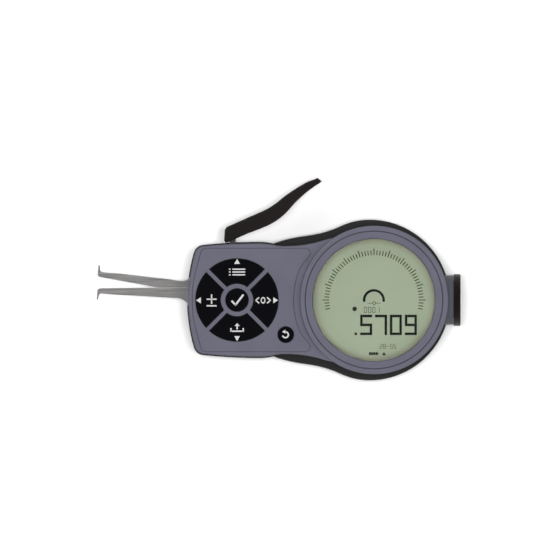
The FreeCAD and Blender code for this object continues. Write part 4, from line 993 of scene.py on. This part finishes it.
# The large digits: each with the X of its left dots, their top, and their dots' pitch and number
LARGE_DIGITS = (("5", 361.4), ("7", 376.3), ("0", 391.1), ("9", 406.1))
DIGIT_TOP = 316.0
DOT_PITCH_X = 2.38
DOT_PITCH_Y = 2.225
DOT_COLUMNS = 5
DOT_ROWS = 9
DOT_STRETCH = 1.04

# The small numbers: text, left, top, width, height and pitch of a digit, and the bars' width
FIRST_NUMBER = ("0001", 364.2, 307.3, 2.5, 5.2, 4.2, 0.2 * MM)
SECOND_NUMBER = ("28-55", 379.9, 344.2, 2.2, 4.4, 3.4, 0.18 * MM)


def seen_at(x, y):
    """The place in the model's plane of a spot in the photographed view."""
    middle = PHOTO_PIXELS / 2
    return Vector((PHOTO_CENTRE[0] + (x - middle) * PIXEL, PHOTO_CENTRE[1] + (middle - y) * PIXEL))


def bar(start, end, width):
    """A flat strip from start to end, as a closed line."""
    side = (end - start).normalized() * width / 2
    side = Vector((-side.y, side.x))
    return [start - side, end - side, end + side, start + side]


def strip(x0, y0, x1, y1, width):
    """A flat strip between two spots of the view, its width in pixels."""
    return bar(seen_at(x0, y0), seen_at(x1, y1), width * PIXEL)


def patch(corner, left, right, low, high):
    """A rectangle, its sides in pixels from a corner."""
    return rectangle(
        corner.x + left * PIXEL, corner.x + right * PIXEL, corner.y + low * PIXEL, corner.y + high * PIXEL
    )


def arc_band(centre, outer, inner, start, end, steps=SMALL_STEPS):
    """A band between two arcs, as a closed line. Its radii are in pixels and its angles in degrees."""
    angles = [math.radians(start + (end - start) * number / steps) for number in range(steps + 1)]
    out = [centre + Vector((math.cos(a), math.sin(a))) * (outer * PIXEL) for a in angles]
    back = [centre + Vector((math.cos(a), math.sin(a))) * (inner * PIXEL) for a in reversed(angles)]
    return out + back


def triangle(x, y, reach, half, turn):
    """A small arrowhead that points up before it is turned."""
    middle = seen_at(x, y)
    points = [Vector((-half, -reach / 2)), Vector((half, -reach / 2)), Vector((0, reach / 2))]
    spin = Matrix.Rotation(math.radians(turn), 2)
    return [middle + spin @ (point * PIXEL) for point in points]


def marks(shapes, low, high):
    """Thin raised marks, one for each closed line."""
    solids = []
    for shape in shapes:
        loop = shape if enclosed(shape) > 0 else shape[::-1]
        solids.append(prism(loop, low, high))
    return gathered(solids)


def dotted_digit(digit, left, dot):
    """One large digit, its dots squares with cut corners."""
    columns = DOT_COLUMNS - 1
    rows = DOT_ROWS - 1
    cells = set()
    for segment in SEGMENTS[digit]:
        (x0, y0), (x1, y1) = SEGMENT_ENDS[segment]
        for step in range(DOT_ROWS):
            part = step / rows
            column = round(columns * (x0 + (x1 - x0) * part))
            row = round(rows * (1 - y0 - (y1 - y0) * part))
            cells.add((column, row))
    long, short = dot / 2, dot / 4
    corners = [(long, short), (short, long), (-short, long), (-long, short)]
    corners += [(-x, -y) for x, y in corners]
    shapes = []
    for column, row in sorted(cells):
        spot = seen_at(left + column * DOT_PITCH_X, DIGIT_TOP + row * DOT_PITCH_Y)
        shapes.append([spot + Vector((x, DOT_STRETCH * y)) for x, y in corners])
    return shapes


def thin_digits(text, left, top, width, height, pitch, stroke):
    """Small digits of thin bars."""
    shapes = []
    for number, digit in enumerate(text):
        corner = left + number * pitch
        for segment in SEGMENTS[digit]:
            ends = [seen_at(corner + x * width, top + (1 - y) * height) for x, y in SEGMENT_ENDS[segment]]
            shapes.append(bar(ends[0], ends[1], stroke))
    return shapes


def scale_ticks(width):
    """The scale's ticks, the long ones at every fifth."""
    centre = seen_at(*DIAL_MIDDLE)
    ticks = []
    for number in range(TICK_COUNT):
        angle = TICK_START + TICK_PITCH * number
        outer = LONG_TICK_OUTER if number in LONG_TICKS else TICK_OUTER
        way = Vector((math.cos(math.radians(angle)), math.sin(math.radians(angle))))
        ticks.append(bar(centre + way * TICK_INNER * PIXEL, centre + way * outer * PIXEL, width))
    return ticks


def spot_sign():
    """The round spot beside the first small number."""
    middle = seen_at(354.6, 308.9)
    radius = 2.3 * PIXEL
    return [circle(radius, middle, SMALL_STEPS)]


def diamond_sign():
    """The small diamond over the first small number, between two short bars."""
    middle = seen_at(374.1, 303.2)
    bar_near, bar_far = 2.0 * PIXEL, 6.4 * PIXEL
    bar_width = 0.2 * MM
    reach = 1.9 * PIXEL
    side_width = 0.24 * MM
    shapes = []
    for side in (-1, 1):
        near = middle + Vector((side * bar_near, 0))
        shapes.append(bar(near, middle + Vector((side * bar_far, 0)), bar_width))
    corners = [Vector((1, 0)), Vector((0, 1)), Vector((-1, 0)), Vector((0, -1))]
    for start, end in sides(corners):
        shapes.append(bar(middle + start * reach, middle + end * reach, side_width))
    return shapes


def point_sign():
    """The square decimal point."""
    middle = seen_at(355.8, 333.8)
    half = 1.25
    return [patch(middle, -half, half, -half, half)]


def arch_sign():
    """The arch over the small numbers, with its two short legs."""
    middle = seen_at(373.9, 300.1)
    outer, inner, leg = 11.0, 8.5, 1.7
    legs = [patch(middle, -outer, -inner, -leg, 0), patch(middle, inner, outer, -leg, 0)]
    return [arc_band(middle, outer, inner, 0, 180, MIDDLE_STEPS)] + legs


def battery_sign():
    """The battery sign: four cells and their contact."""
    corner = seen_at(369, 355.1)
    pitch, width, height = 2.25, 1.95, 2.9
    tip_left, tip_right, tip_low, tip_high = 9.1, 9.9, 0.8, 2.1
    cells = [patch(corner, number * pitch, number * pitch + width, 0, height) for number in range(4)]
    return cells + [patch(corner, tip_left, tip_right, tip_low, tip_high)]


def lock_sign():
    """The small closed lock."""
    corner = seen_at(382.6, 355.2)
    width, height = 2.8, 1.7
    outer, inner = 1.2, 0.75
    bow = corner + Vector((width / 2, height)) * PIXEL
    return [patch(corner, 0, width, 0, height), arc_band(bow, outer, inner, 0, 180, steps=16)]


class CALIPER_OT_display(bpy.types.Operator):
    """Builds the display's marks: its scale, digits and small signs"""

    bl_idname = "caliper.display"
    bl_label = "Display marks"

    def execute(self, context):
        sizes = context.scene.caliper_sizes
        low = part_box("lcd_panel")[1].z
        high = low + sizes.print_height
        grey = scale_ticks(sizes.tick_width) + thin_digits(*FIRST_NUMBER) + thin_digits(*SECOND_NUMBER)
        grey += spot_sign() + diamond_sign()
        dark = []
        for digit, left in LARGE_DIGITS:
            dark += dotted_digit(digit, left, sizes.dot_size)
        dark += point_sign() + arch_sign() + battery_sign() + lock_sign()
        add_piece("display_scale", marks(grey, low, high), "body", "lcd_glass", ink="display_grey")
        add_piece("display_digits", marks(dark, low, high), "body", "lcd_glass", ink="display_dark")
        return {"FINISHED"}


# Keypad

# The bar under the panel that keeps each key in: how far it reaches along X and Y
KEY_BARS = {
    "key_right": mm(1.5, 10.4),
    "key_up": mm(10.4, 1.5),
    "key_left": mm(1.5, 10.4),
    "key_down": mm(10.4, 1.5),
    "key_centre": mm(1.5, 5.6),
    "key_reset": mm(1.5, 4.05),
}
KEY_BAR_HEIGHT = 0.7 * MM
KEY_NUB_HALF = 1.5 * MM
KEY_SPACING = 1.0 * MM

# The snap domes: how near one lies to its key's middle, its radius, its sheet, and the share of its height
# that is hollow
DOME_REACH = 4 * MM
DOME_RADIUS = 2.2 * MM
DOME_SHEET = 0.06 * MM
DOME_HOLLOW = 0.87

# The keys' marks: the X of the upper and lower ones, the Y of the side ones, and the usual width
MARKS_X = 237.1
MARKS_Y = 300.3
MARK_WIDTH = 1.3


def up_marks():
    """An arrowhead over a list of three lines."""
    arrow_y = 261.4
    line_ys = (269.2, 272.0, 274.8)
    bullet = (229.0, 230.6)
    line = (232.4, 245.2)
    shapes = [triangle(MARKS_X, arrow_y, reach=5.0, half=2.9, turn=0)]
    for y in line_ys:
        for start, end in (bullet, line):
            shapes.append(strip(start, y, end, y, MARK_WIDTH))
    return shapes


def down_marks():
    """An arrow that rises out of a tray, over an arrowhead."""
    arrow_y = 338.6
    tray_left, tray_right = 231, 243.2
    tray_floor = 331.2
    tray_foot, tray_top = 331.9, 328
    tray_width = 1.4
    shaft_foot, shaft_top = 329.4, 325.8
    shaft_width = 1.5
    tip_y = 324.6
    shapes = [triangle(MARKS_X, arrow_y, reach=5.0, half=2.8, turn=180)]
    shapes.append(strip(tray_left, tray_floor, tray_right, tray_floor, tray_width))
    for x in (tray_left, tray_right):
        shapes.append(strip(x, tray_foot, x, tray_top, tray_width))
    shapes.append(strip(MARKS_X, shaft_foot, MARKS_X, shaft_top, shaft_width))
    shapes.append(triangle(MARKS_X, tip_y, reach=2.9, half=2.6, turn=0))
    return shapes


def left_marks():
    """An arrowhead beside a plus and minus."""
    arrow_x = 198.5
    left, right = 206.6, 216.6
    plus_x, plus_y = 211.6, 299.2
    plus_top, plus_foot = 294.4, 304
    minus_y = 305.8
    shapes = [triangle(arrow_x, MARKS_Y, reach=4.8, half=3.0, turn=90)]
    shapes.append(strip(left, plus_y, right, plus_y, MARK_WIDTH))
    shapes.append(strip(plus_x, plus_top, plus_x, plus_foot, MARK_WIDTH))
    shapes.append(strip(left, minus_y, right, minus_y, MARK_WIDTH))
    return shapes


def right_marks():
    """A ring between two angles, beside an arrowhead."""
    arrow_x = 275.7
    angle_top, angle_foot = 297.4, 303.2
    left_angle, right_angle = (259.2, 255.6), (267.0, 270.6)
    tip_foot, tip_top = 300.4, 300.2
    ring_x = 263.1
    ring_outer, ring_inner, ring_narrow = 3.3, 2.0, 0.72
    nearly_round = 359.9
    shapes = [triangle(arrow_x, MARKS_Y, reach=4.8, half=3.0, turn=-90)]
    for open_x, tip_x in (left_angle, right_angle):
        shapes.append(strip(open_x, angle_top, tip_x, tip_foot, MARK_WIDTH))
        shapes.append(strip(tip_x, tip_top, open_x, angle_foot, MARK_WIDTH))
    centre = seen_at(ring_x, MARKS_Y)
    ring = arc_band(Vector((0, 0)), ring_outer, ring_inner, 0, nearly_round, MIDDLE_STEPS)
    shapes.append([centre + Vector((point.x * ring_narrow, point.y)) for point in ring])
    return shapes


def centre_marks():
    """A tick of a short and a long stroke."""
    short_stroke = (231.6, 300.8, 235.8, 305.2)
    long_stroke = (235.2, 305.3, 243.4, 294.6)
    width = 1.9
    return [strip(*short_stroke, width), strip(*long_stroke, width)]


def reset_marks():
    """A round arrow."""
    middle = seen_at(285.45, 334.8)
    outer, inner = 3.6, 2.2
    start, end = -166, 88
    tip_x, tip_y = 283.8, 331.7
    tip = triangle(tip_x, tip_y, reach=3.1, half=2.0, turn=90)
    return [arc_band(middle, outer, inner, start, end), tip]


KEY_MARKS = {
    "key_right": right_marks,
    "key_up": up_marks,
    "key_left": left_marks,
    "key_down": down_marks,
    "key_centre": centre_marks,
    "key_reset": reset_marks,
}


class CALIPER_OT_keys(bpy.types.Operator):
    """Builds the six keys with softened edges, and the marks printed on them"""

    bl_idname = "caliper.keys"
    bl_label = "Keys"

    def execute(self, context):
        sizes = context.scene.caliper_sizes
        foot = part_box("keypad_panel")[0].z - FIT
        for node, key_marks in KEY_MARKS.items():
            low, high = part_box(node)
            middle = middle_of(node)
            outline = stepped(flat_loops(node, high.z)[0], KEY_SPACING)
            cap = lofted(outline, [(0, foot)] + rounded_top(sizes.key_edge, high.z))
            bar_reach = Vector(KEY_BARS[node])
            key_bar = block(middle, bar_reach, foot - KEY_BAR_HEIGHT, foot + FIT)
            nub = block(middle, (KEY_NUB_HALF, KEY_NUB_HALF), low.z, foot + FIT)
            key = combined(cap, [key_bar, nub], "UNION")
            ink = marks(key_marks(), high.z, high.z + sizes.print_height)
            add_piece(node + "_cap", key, node + "_body", "black_key", node)
            add_piece(node + "_print", ink, node + "_body", "black_key", ink="print_white")
        return {"FINISHED"}


class CALIPER_OT_snap_domes(bpy.types.Operator):
    """Builds the snap domes, one under each key"""

    bl_idname = "caliper.snap_domes"
    bl_label = "Snap domes"

    def execute(self, context):
        low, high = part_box("key_domes")
        points = [vertex.co.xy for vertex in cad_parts["key_domes"].data.vertices]
        profile = self.profile(low.z, high.z)
        for node in KEY_MARKS:
            key = Vector(middle_of(node))
            near = [point for point in points if (point - key).length < DOME_REACH]
            centre = sum(near, Vector((0, 0))) / len(near)
            dome = lathed(profile, SMALL_STEPS, hollow=True)
            dome.transform(Matrix.Translation((centre.x, centre.y, 0)))
            piece = add_piece(node.replace("key", "snap_dome"), dome, "body", "nickel", "key_domes")
            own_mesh(piece)
        return {"FINISHED"}

    @staticmethod
    def profile(low, high):
        """Pairs of radius and height up the dome's outside and back down its inside."""
        steps = 8
        crown = [math.radians(90 * number / steps) for number in range(steps)]
        outside = [(DOME_RADIUS * math.cos(a), low + (high - low) * math.sin(a)) for a in crown]
        inside = [(radius - DOME_SHEET, low + (height - low) * DOME_HOLLOW) for radius, height in outside]
        return outside + inside[::-1]


# Arms and spring

# The hooks end at this X, and their sharp inner corners are cut across by this much
HOOKS_END = -112 * MM
HOOK_CORNER = 0.5 * MM
ARM_SPACING = 0.8 * MM

# The arms' fuller edges: the amount, the side (upper 1, lower -1) and the X of both ends
FIXED_FULLER = (0.2 * MM, -1, -116 * MM, -76 * MM)
MOVING_FULLER = (0.28 * MM, 1, -113 * MM, -78 * MM)

# The moving arm is drawn out to the left of this X, by 0.5 mm over its 46 mm
DRAWN_START = -70 * MM
DRAWN_OUT = 0.5 / 46

# The spring's lugs lie this far in from its ends. The moving arm's post reaches so far round its lug
LUG_INSET = 0.95 * MM
POST_REACH = mm(0.45, 0.6)

# The spring's wire radius, half its coil's length, its turns and the steps of one turn
WIRE = 0.175 * MM
COIL_HALF = 4.3 * MM
COIL_TURNS = 17
TURN_STEPS = 14

# The points of the spring's eye round a lug
EYE = (
    mm(-0.35, 0.925),
    mm(-0.775, 0.4),
    mm(-0.775, -0.4),
    mm(-0.35, -0.925),
    mm(0.35, -0.925),
    mm(0.775, -0.3),
)


def drawn_out(point):
    """A point of the moving arm, drawn out a little towards its tip."""
    stretch = 1 + DRAWN_OUT if point.x < DRAWN_START else 1
    return Vector((DRAWN_START + (point.x - DRAWN_START) * stretch, point.y))


class CALIPER_OT_arms(bpy.types.Operator):
    """Builds both measuring arms with rounded edges"""

    bl_idname = "caliper.arms"
    bl_label = "Measuring arms"

    def execute(self, context):
        edge = context.scene.caliper_sizes.arm_edge
        fixed_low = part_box("fixed_arm")[0].z
        moving_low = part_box("moving_contact")[0].z
        for node, body, low, fuller in (
            ("fixed_arm", "body", fixed_low, FIXED_FULLER),
            ("moving_arm", "moving_arm_body", moving_low, MOVING_FULLER),
        ):
            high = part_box(node)[1].z
            loops = flat_loops(node, high)
            outline = stepped(softened(loops[0], HOOK_CORNER, HOOKS_END), ARM_SPACING)
            outline = fuller_edge(outline, *fuller)
            if node == "moving_arm":
                outline = [drawn_out(point) for point in outline]
            arm = lofted(outline, rounded_foot(edge, low) + rounded_top(edge, high))
            holes = [prism(loop, low - OVERLAP, high + OVERLAP) for loop in loops[1:]]
            arm = combined(arm, holes, "DIFFERENCE")
            if node == "moving_arm":
                arm = combined(arm, [self.spring_post(low)], "UNION")
            add_piece(node + "_blade", arm, body, "arm_steel", node)
        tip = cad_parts["moving_contact"].data.copy()
        for vertex in tip.vertices:
            vertex.co.x = drawn_out(vertex.co).x
        add_piece("moving_contact_tip", tip, "moving_arm_body", "carbide", "moving_contact")
        return {"FINISHED"}

    @staticmethod
    def spring_post(top):
        """The post under the arm's tail that takes the spring's eye."""
        low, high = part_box("measuring_spring")
        centre = (low.x + LUG_INSET, (low.y + high.y) / 2)
        return block(centre, POST_REACH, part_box("moving_arm")[0].z, top + OVERLAP / 2)


class CALIPER_OT_spring(bpy.types.Operator):
    """Winds the measuring spring, which runs between its two lugs"""

    bl_idname = "caliper.spring"
    bl_label = "Measuring spring"

    def execute(self, context):
        low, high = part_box("measuring_spring")
        centre = (low + high) / 2
        radius = (high.y - low.y) / 2 - WIRE
        hook = self.hook(high.x - LUG_INSET - centre.x, radius)
        other = [Vector((-point.x, point.y, 0)) for point in reversed(hook)]
        path = [point + centre for point in hook + self.coil(radius) + other]
        mesh = self.wire_mesh(context.scene, path)
        spring = add_piece("spring_coil", mesh, None, "spring_steel", "measuring_spring")
        start, end = (centre.x + COIL_HALF, centre.y, centre.z), (centre.x - COIL_HALF, centre.y, centre.z)
        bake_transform(spring)
        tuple(start)
        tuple(end)
        return {"FINISHED"}

    @staticmethod
    def hook(lug, radius):
        """The eye round a lug and the way from it to the coil."""
        eye_end = lug - 1.2 * MM
        near_coil = COIL_HALF + 0.5 * MM
        at_coil = COIL_HALF + 0.2 * MM
        rise = 0.6 * radius
        path = [(lug - x, y) for x, y in EYE] + [(eye_end, 0), (near_coil, 0), (at_coil, rise)]
        return [Vector((x, y, 0)) for x, y in path]

    @staticmethod
    def coil(radius):
        """The turns from one end to the other."""
        steps = COIL_TURNS * TURN_STEPS
        coil = []
        for number in range(steps + 1):
            turn = 2 * math.pi * number / TURN_STEPS
            x = COIL_HALF * (1 - 2 * number / steps)
            coil.append(Vector((x, radius * math.cos(turn), radius * math.sin(turn))))
        return coil

    @staticmethod
    def wire_mesh(scene, path):
        """A round wire along a path, as a mesh."""
        line = bpy.data.curves.new("work", "CURVE")
        line.dimensions = "3D"
        line.bevel_depth = WIRE
        line.bevel_resolution = 2
        line.use_fill_caps = True
        spline = line.splines.new("POLY")
        spline.points.add(len(path) - 1)
        for spot, point in zip(spline.points, path):
            spot.co = (*point, 1)
        winding = bpy.data.objects.new("work", line)
        scene.collection.objects.link(winding)
        graph = bpy.context.evaluated_depsgraph_get()
        mesh = bpy.data.meshes.new_from_object(winding.evaluated_get(graph))
        bpy.data.objects.remove(winding)
        return mesh


# Lift lever

HANDLE_SPACING = 0.8 * MM

# The handle is this much fuller all round
HANDLE_GROWTH = 0.7 * MM

# Towards its thumb end the handle swells by this much, over this length from these X of its upper
# and lower side, and less so close under its highest Y
SWELL = 0.45 * MM
SWELL_LENGTH = 11 * MM
SWELL_START_UPPER = -48 * MM
SWELL_START_LOWER = -56 * MM
SWELL_FADE = 2 * MM

# The heel is drawn out to the left and down by this much, less near the handle's upper side
HEEL_SHIFT = Vector(mm(0.62, 0.3))
HEEL_RISE = mm(-59.5, -61.5)
HEEL_FADE = mm(30, 25)
HEEL_LEAST = 0.3

# The X of the pocket's sides for the crank's stem
STEM_POCKET = mm(-60.92, -58.28)


class CALIPER_OT_handle(bpy.types.Operator):
    """Builds the lift lever's moulded handle"""

    bl_idname = "caliper.handle"
    bl_label = "Lift lever"

    def execute(self, context):
        edge = context.scene.caliper_sizes.handle_edge
        low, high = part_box("lift_lever")
        flat = flat_loops("lift_lever", high.z)[0]
        grown = stepped(inset_loop(flat, -HANDLE_GROWTH), HANDLE_SPACING)
        handle = lofted(self.swollen(grown, high.y), rounded_foot(edge, low.z) + rounded_top(edge, high.z))
        stem_low, stem_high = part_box("lever_crank")
        left, right = STEM_POCKET
        pocket = box((left, stem_low.y, stem_low.z - FIT), (right, stem_high.y + FIT, stem_high.z + FIT))
        handle = combined(handle, [pocket], "DIFFERENCE")
        add_piece("lever_handle", handle, "lever_body", "lever_plastic", "lift_lever")
        return {"FINISHED"}

    @staticmethod
    def swollen(outline, top):
        """The handle's outline, a little fuller towards its thumb end and at its heel."""
        fuller = []
        for plain, moved in zip(outline, inset_loop(outline, -SWELL)):
            start = SWELL_START_UPPER if moved.y > plain.y else SWELL_START_LOWER
            part = way_along(plain.x, start, start + SWELL_LENGTH)
            part *= way_along(moved.y, top, top - SWELL_FADE)
            grown = plain.lerp(moved, smooth(part))
            fade = HEEL_LEAST + (1 - HEEL_LEAST) * eased(grown.y, *HEEL_FADE)
            grown -= HEEL_SHIFT * (eased(grown.x, *HEEL_RISE) * fade)
            fuller.append(Vector((grown.x, min(grown.y, top))))
        return fuller


class CALIPER_OT_battery_cap(bpy.types.Operator):
    """Builds the battery cap with its coin slot"""

    bl_idname = "caliper.battery_cap"
    bl_label = "Battery cap"

    def execute(self, context):
        edge = context.scene.caliper_sizes.cap_edge
        low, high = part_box("battery_cap")
        height = (low.z + high.z) / 2
        cap = along_x(lathed(self.profile(low.x, high.x, (high.y - low.y) / 2, edge)), height)
        slot_depth = 1.2 * MM
        slot_reach = 6.5 * MM
        slot_half = 0.9 * MM
        near = (high.x - slot_depth, -slot_reach, height - slot_half)
        far = (high.x + OVERLAP, slot_reach, height + slot_half)
        cap = combined(cap, [box(near, far)], "DIFFERENCE")
        add_piece("coin_slot_cap", cap, "battery_cap_body", "cap_plastic", "battery_cap")
        return {"FINISHED"}

    @staticmethod
    def profile(start, end, radius, edge):
        """Pairs of radius and X from the plug that enters the tube to the cap's face."""
        plug_radius = 7.9 * MM
        plug_chamfer = mm(0.6, 0.5)
        cap_start = end - 2.95 * MM
        foot_edge = 0.2 * MM
        face_rings = mm(6.0, 2.0)
        profile = [(plug_radius - plug_chamfer[0], start), (plug_radius, start + plug_chamfer[1])]
        profile.append((plug_radius, cap_start))
        rounded = rounded_foot(foot_edge, cap_start) + rounded_top(edge, end)
        profile += [(radius - inset, x) for inset, x in rounded]
        return profile + [(ring, end) for ring in face_rings]


# Stage

FLOOR_REACH = 3.0
PAPER_TINTS = ((0.9, 0.9, 0.9), (0.93, 0.93, 0.93))
CAMERA_HEIGHT = 1.0

# Each softbox: name, place, size and power, and whether it shows in glossy surfaces
SOFTBOXES = (
    ("left_softbox", (-0.9, 0.7, 1.1), 0.9, 3.2, True),
    ("right_softbox", (0.9, -0.7, 1.1), 0.9, 2.4, True),
    ("ceiling_softbox", (-0.26, PHOTO_CENTRE[1], 2.6), 0.4, 27.0, False),
    ("ceiling_softbox", (0.26, PHOTO_CENTRE[1], 2.6), 0.4, 27.0, False),
)

# The room's strength by how steeply one looks up, from the horizon to straight above
HORIZON = (0.0, 1.0)
ZENITH = (1.0, 0.03)
BETWEEN = ((0.3, 0.85), (0.6, 0.5), (0.9, 0.45), (0.97, 0.12))


class CALIPER_OT_stage(bpy.types.Operator):
    """Sets the floor, the light and the camera"""

    bl_idname = "caliper.stage"
    bl_label = "Stage"

    def execute(self, context):
        scene = context.scene
        self.floor(scene)
        camera = bpy.data.objects.new("camera", bpy.data.cameras.new("camera"))
        camera.data.type = "ORTHO"
        camera.data.ortho_scale = PHOTO_WIDTH
        camera.location = (*PHOTO_CENTRE, CAMERA_HEIGHT)
        scene.collection.objects.link(camera)
        scene.camera = camera
        for name, place, size, power, glossy in SOFTBOXES:
            self.light(scene, name, place, size, power).visible_glossy = glossy
        self.world(scene)
        scene.view_settings.view_transform = "Standard"
        return {"FINISHED"}

    @staticmethod
    def floor(scene):
        """A thin sheet of pale paper."""
        corners = rectangle(-FLOOR_REACH, FLOOR_REACH, -FLOOR_REACH, FLOOR_REACH)
        sheet = mesh_from([(corner.x, corner.y, 0) for corner in corners], [(0, 1, 2, 3)])
        floor = bpy.data.objects.new("floor", sheet)
        scene.collection.objects.link(floor)
        paper = Finish("floor_paper")
        paper.coloured(paper.toned(paper.noise(scale=40), *PAPER_TINTS))
        paper.level("Roughness", 0.9)
        paper.level("Specular IOR Level", 0.1)
        floor.data.materials.append(paper.material)
        floor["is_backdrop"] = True

    @staticmethod
    def light(scene, name, place, size, power):
        """A square light that shines at the middle of the view."""
        lamp = bpy.data.lights.new(name, "AREA")
        lamp.size = size
        lamp.energy = power
        softbox = bpy.data.objects.new(name, lamp)
        softbox.location = place
        aim = Vector((*PHOTO_CENTRE, 0)) - Vector(place)
        softbox.rotation_euler = aim.to_track_quat("-Z", "Y").to_euler()
        scene.collection.objects.link(softbox)
        return softbox

    @staticmethod
    def world(scene):
        """A pale room, brightest at the horizon and darkest straight above."""
        world = bpy.data.worlds.new("pale_room")
        world.use_nodes = True
        scene.world = world
        tree = world.node_tree
        sky = tree.nodes["Background"]
        way = tree.nodes.new("ShaderNodeTexCoord")
        split = tree.nodes.new("ShaderNodeSeparateXYZ")
        fade = tree.nodes.new("ShaderNodeFloatCurve")
        curve = fade.mapping.curves[0]
        curve.points[0].location = HORIZON
        curve.points[1].location = ZENITH
        for height, strength in BETWEEN:
            curve.points.new(height, strength)
        fade.mapping.update()
        tree.links.new(way.outputs["Generated"], split.inputs["Vector"])
        tree.links.new(split.outputs["Z"], fade.inputs["Value"])
        tree.links.new(fade.outputs["Value"], sky.inputs["Strength"])
        sky.inputs["Color"].default_value = (1, 1, 1, 1)


class CALIPER_PT_panel(bpy.types.Panel):
    """Lists the operators, sizes and colours in the sidebar"""

    bl_idname = "CALIPER_PT_panel"
    bl_label = "Caliper gauge"
    bl_space_type = "VIEW_3D"
    bl_region_type = "UI"
    bl_category = "Caliper"

    def draw(self, context):
        for operator in OPERATORS:
            self.layout.operator(operator.bl_idname)
        for group in (context.scene.caliper_sizes, context.scene.caliper_colours):
            column = self.layout.column()
            for name in group.__annotations__:
                column.prop(group, name)


OPERATORS = (
    CALIPER_OT_finishes,
    CALIPER_OT_rear_shell,
    CALIPER_OT_front_shell,
    CALIPER_OT_panel_plate,
    CALIPER_OT_screws,
    CALIPER_OT_bezel,
    CALIPER_OT_display,
    CALIPER_OT_keys,
    CALIPER_OT_snap_domes,
    CALIPER_OT_arms,
    CALIPER_OT_spring,
    CALIPER_OT_handle,
    CALIPER_OT_battery_cap,
    CALIPER_OT_stage,
)
CLASSES = (CaliperSizes, CaliperColours, *OPERATORS, CALIPER_PT_panel)


def register():
    for kind in CLASSES:
        bpy.utils.register_class(kind)
    bpy.types.Scene.caliper_sizes = bpy.props.PointerProperty(type=CaliperSizes)
    bpy.types.Scene.caliper_colours = bpy.props.PointerProperty(type=CaliperColours)


def unregister():
    del bpy.types.Scene.caliper_colours
    del bpy.types.Scene.caliper_sizes
    for kind in reversed(CLASSES):
        bpy.utils.unregister_class(kind)


def main():
    register()
    for operator in OPERATORS:
        group, name = operator.bl_idname.split(".")
        getattr(getattr(bpy.ops, group), name)()
    boxes = {"cad": CAD_BOX, "visual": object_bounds()}
    {name: [list(corner) for corner in corners] for name, corners in boxes.items()}


if __name__ == "__main__":
    main()
